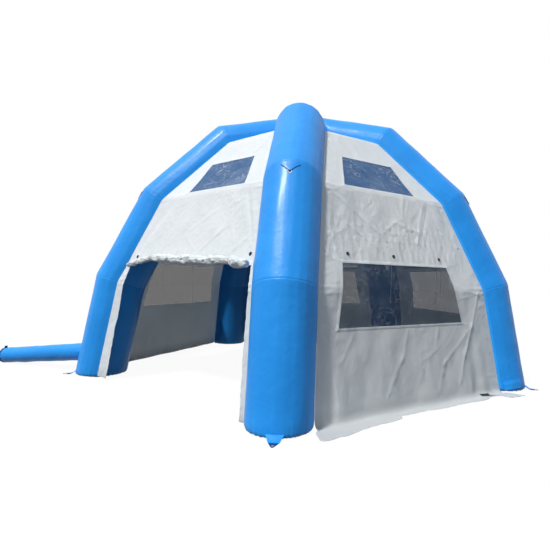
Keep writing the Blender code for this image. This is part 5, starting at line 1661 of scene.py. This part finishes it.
def leg_exit_shares(radial):
    """How far along the sleeve its lines come out of the leg."""
    along = unit(placed(LEG_PATH[1], SLEEVE_LEG_BEARING) - SLEEVE_FOOT)
    low_share, high_share = np.zeros(SLEEVE_SIDES), np.full(SLEEVE_SIDES, EXIT_LIMIT)
    for _ in range(EXIT_HALVINGS):
        share = (low_share + high_share) / 2
        point = sleeve_line(share, radial)[2] - SLEEVE_FOOT
        off = np.linalg.norm(point - (point @ along)[:, None] * along, axis=-1)
        inside = off < TUBE_RADIUS + TOUCH_GAP
        low_share, high_share = np.where(inside, share, low_share), np.where(inside, high_share, share)
    return high_share


def build_sleeve():
    angles = circle(SLEEVE_SIDES)
    radial = spokes(angles, UP, ACROSS)
    starts = leg_exit_shares(radial)
    gathers = np.cos(SLEEVE_GATHER_COUNT * angles + 1.5 * np.sin(2 * angles))
    rings = []
    for part in np.arange(SLEEVE_ROWS + 1) / SLEEVE_ROWS:
        centre, radius, skin = sleeve_line(starts + (1 - starts) * part, radial)
        push = -ROOT_GATHER_DEPTH * np.exp(-part / ROOT_GATHER_REACH) * (1 + gathers)
        push -= END_GATHER_DEPTH * np.exp(-(1 - part) / END_GATHER_REACH) * (1 - gathers)
        push += waves(skin, 0.35, SLEEVE_DENT, 31) * ease(part, 0.0, 0.05) * ease(1 - part, 0.0, 0.05)
        rings.append(centre + (radius + push)[:, None] * radial)
    piece = add_mesh("soft_sleeve", ring_solid(on_ground(rings)), (BLUE,))
    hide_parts("inflation_sleeve")
    end = SLEEVE_FOOT + SLEEVE_LENGTH * FORWARD + SLEEVE_RADIUS * UP
    crimp = END_CRIMP * (1 + np.cos(2 * SLEEVE_GATHER_COUNT * angles + 2 * np.sin(3 * angles)))
    rings = []
    for depth, out in END_PROFILE:
        size = SLEEVE_RADIUS + out - crimp * (depth > 0)
        rings.append(end + (TOUCH_GAP + depth) * FORWARD + size[:, None] * radial)
    rise = (EAR_HEIGHT + END_LIP) * UP
    root = end + (SLEEVE_RADIUS - END_LIP) * UP - ACROSS * EAR_WIDTH / 2
    ear = []
    for depth in (0.3, 0.7):
        corner = root + depth * END_PANEL_THICKNESS * FORWARD
        ear.append([corner + u * ACROSS + share * rise for u, share in EAR_OUTLINE])
    panel = add_mesh("gathered_end_panel", joined([ring_solid(on_ground(rings)), ring_solid(ear)]), (NAVY,))
    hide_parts("sleeve_end_panel")


build_sleeve()


# Deflation zip low on the right leg, and its rain flap

ZIP_FROM = math.radians(-78.0)
ZIP_TO = math.radians(-38.0)
ZIP_ALONG = 0.070
ZIP_HEIGHT = 0.024
ZIP_THICKNESS = 0.003
TOOTH_PITCH = 0.0032
TOOTH_HALF_HEIGHT = 0.0022
TOOTH_LEAN = 0.0007
TOOTH_PROUD = 0.0006
TOOTH_THICKNESS = 0.0012
TAPE_THINNING = 0.0014
FLAP_ALONG = 0.018
FLAP_HEIGHT = 0.135
FLAP_THICKNESS = 0.003
FLAP_STAND_OFF = 0.0115
FLAP_MARGIN = math.radians(1.5)
FLAP_SHARE = 0.7
SLIDER_HEIGHT = 0.020
WELT_RADIUS = 0.0022
WELT_TURN = 0.01
WELT_INSET = 0.004


def wrapped(radius, angle, distance):
    """Points on a cylinder about the lowest stretch of a leg."""
    along, outward = section_axes(0)
    radius, angle, distance = np.broadcast_arrays(radius, angle, distance)
    return LEG_PATH[0] + distance[..., None] * along + radius[..., None] * spokes(angle, outward, TANGENT)


def build_zip(bearing):
    middle = TUBE_RADIUS + TOUCH_GAP + ZIP_THICKNESS / 2
    angles = np.linspace(ZIP_FROM, ZIP_TO, 60)[None, :]
    rows = np.linspace(-ZIP_HEIGHT / 2, ZIP_HEIGHT / 2, 9)[:, None]
    tape = wrapped(middle - TAPE_THINNING / 2, angles, ZIP_ALONG + rows)
    parts = [sheet_parts(tape, ZIP_THICKNESS - TAPE_THINNING)]
    count = int((ZIP_TO - ZIP_FROM) * TUBE_RADIUS / TOOTH_PITCH)
    half = 0.30 * TOOTH_PITCH / TUBE_RADIUS
    height = np.array([[-TOOTH_HALF_HEIGHT] * 2, [TOOTH_HALF_HEIGHT] * 2])
    for k in range(count):
        turn = ZIP_FROM + (k + 0.5) * (ZIP_TO - ZIP_FROM) / count
        ends = np.array([[turn - half, turn + half]] * 2)
        lean = TOOTH_LEAN if k % 2 else -TOOTH_LEAN
        tooth = wrapped(middle + TOOTH_PROUD, ends, ZIP_ALONG + lean + height)
        parts.append(sheet_parts(tooth, TOOTH_THICKNESS))
    piece = add_mesh("zip_tape", joined(parts), (BLACK,), bearing)
    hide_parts("deflation_zip")
    slider = frame["nodes"]["zip_slider"]
    slider.data.materials.clear()
    slider.data.materials.append(STEEL)


def build_flap(bearing):
    close = TUBE_RADIUS + TOUCH_GAP + FLAP_THICKNESS / 2
    proud = TUBE_RADIUS + FLAP_STAND_OFF + FLAP_THICKNESS / 2
    top = FLAP_ALONG + FLAP_HEIGHT
    along = np.linspace(FLAP_ALONG, top, 30)
    radius = close + (proud - close) * (1 - ease(along, ZIP_ALONG + SLIDER_HEIGHT, top))
    angles = np.linspace(ZIP_FROM - FLAP_MARGIN, ZIP_TO + FLAP_MARGIN, 64)
    cut = sheet_parts(wrapped(radius[:, None], angles[None, :], along[:, None]), FLAP_THICKNESS * FLAP_SHARE)
    flap = add_mesh("rain_flap", cut, (BLUE,), bearing, body="zip_flap")
    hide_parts("zip_flap")
    lift = radius + FLAP_THICKNESS * FLAP_SHARE / 2 + WELT_RADIUS * 0.4
    edges = (
        (lift, angles[0] + WELT_TURN, along), (lift, angles[-1] - WELT_TURN, along),
        (lift[0], angles, along[0] + WELT_INSET), (lift[-1], angles, along[-1] - WELT_INSET),
    )
    welts = joined([ring_solid(tube_rings(wrapped(*edge), WELT_RADIUS, 8)) for edge in edges])
    # The welts take the lighter tape, partly a painted highlight on their raised edges
    welt = add_mesh("rain_flap_welt", welts, (WELD_TAPE_AND_HIGHLIGHT,), bearing, body="zip_flap")


build_zip(RIGHT_LEG_BEARING)
build_flap(RIGHT_LEG_BEARING)


# Camera, at the photograph's place and angle

CAMERA_PLACE = AXIS + (5.136, -6.189, 1.596)
CAMERA_YAW = math.radians(128.4992)
CAMERA_PITCH = math.radians(0.0424)
CAMERA_ROLL = math.radians(1.3932)
CAMERA_SHIFT = (-0.0668, 0.0078)
CAMERA_CLIP = (0.05, 200.0)
IMAGE_WIDTH = 550
FOCAL_PIXELS = 438.83
SENSOR = 36.0


def bearing_vector(bearing, height):
    level = math.cos(height)
    return Vector((level * math.cos(bearing), level * math.sin(bearing), math.sin(height)))


def build_camera():
    camera = linked("camera", bpy.data.cameras.new("camera"))
    bpy.context.scene.camera = camera
    forward = bearing_vector(CAMERA_YAW, CAMERA_PITCH)
    right = forward.cross(Vector(UP)).normalized()
    up = right.cross(forward)
    turned_right = right * math.cos(CAMERA_ROLL) + up * math.sin(CAMERA_ROLL)
    turned_up = up * math.cos(CAMERA_ROLL) - right * math.sin(CAMERA_ROLL)
    matrix = Matrix((turned_right, turned_up, -forward)).transposed().to_4x4()
    matrix.translation = CAMERA_PLACE
    camera.matrix_world = matrix
    camera.data.sensor_width = SENSOR
    camera.data.lens = SENSOR * FOCAL_PIXELS / IMAGE_WIDTH
    camera.data.shift_x, camera.data.shift_y = CAMERA_SHIFT
    camera.data.clip_start, camera.data.clip_end = CAMERA_CLIP


build_camera()


# Floor, world and lamp

FLOOR_HALF = 60.0
FLOOR_DROP = 0.0005
FLOOR_SHADE = 0.15
BACKGROUND_SHARE = 0.95
SKY = (0.35, 0.40, 0.47)
HORIZON = (0.195, 0.208, 0.230)
WHITE = (1.0, 1.0, 1.0)
ROOM_BEHIND_FILM = (0.255, 0.250, 0.245)
KEY_STRENGTH = 3.6
KEY_COLOUR = (1.0, 0.985, 0.96)
KEY_SPREAD = math.radians(6.0)
KEY_BEARING = math.radians(261.0)
KEY_HEIGHT = math.radians(58.0)


def background_rays(tree):
    """1 for camera, glossy and transmission rays, and what they see: white, or the room behind a film."""
    path = add_node(tree, "ShaderNodeLightPath")
    seen = path.outputs["Is Camera Ray"]
    for name in ("Is Glossy Ray", "Is Transmission Ray"):
        seen = calculate(tree, "MAXIMUM", seen, path.outputs[name])
    behind = calculate(tree, "GREATER_THAN", path.outputs["Transparent Depth"], 0.5)
    return seen, mix_colours(tree, behind, WHITE, ROOM_BEHIND_FILM)


def build_world():
    world = bpy.data.worlds.new("studio")
    bpy.context.scene.world = world
    world.use_nodes = True
    tree = world.node_tree
    seen, shown = background_rays(tree)
    direction = add_node(tree, "ShaderNodeTexCoord").outputs["Generated"]
    rise = add_node(tree, "ShaderNodeSeparateXYZ", Vector=direction).outputs["Z"]
    sky = mix_colours(tree, spread_range(tree, rise, -0.1, 0.8), HORIZON, SKY)
    set_up(tree.nodes["Background"], Strength=1.0, Color=mix_colours(tree, seen, sky, shown))


def build_floor():
    mesh = bpy.data.meshes.new("studio_floor")
    corners = [(x * FLOOR_HALF, y * FLOOR_HALF, -FLOOR_DROP) for x, y in ((-1, -1), (1, -1), (1, 1), (-1, 1))]
    mesh.from_pydata(corners, [], [(0, 1, 2, 3)])
    linked("studio_floor", mesh)
    material = bpy.data.materials.new("studio_floor")
    material.use_nodes = True
    mesh.materials.append(material)
    tree = material.node_tree
    tree.nodes.clear()
    seen, shown = background_rays(tree)
    shade = mix_colours(tree, seen, (FLOOR_SHADE,) * 3, shown)
    mix = add_node(tree, "ShaderNodeMixShader", Fac=calculate(tree, "MULTIPLY", seen, BACKGROUND_SHARE))
    tree.links.new(add_node(tree, "ShaderNodeBsdfDiffuse", Color=shade).outputs["BSDF"], mix.inputs[1])
    tree.links.new(add_node(tree, "ShaderNodeEmission", Color=shown).outputs["Emission"], mix.inputs[2])
    add_node(tree, "ShaderNodeOutputMaterial", Surface=mix.outputs["Shader"])


def build_key():
    lamp = bpy.data.lights.new("key", "SUN")
    lamp.energy = KEY_STRENGTH
    lamp.angle = KEY_SPREAD
    lamp.color = KEY_COLOUR
    key = linked("key", lamp)
    key.rotation_mode = "QUATERNION"
    key.rotation_quaternion = bearing_vector(KEY_BEARING, KEY_HEIGHT).to_track_quat("Z", "Y")


build_world()
build_floor()
build_key()
bpy.context.scene.view_settings.view_transform = "Standard"
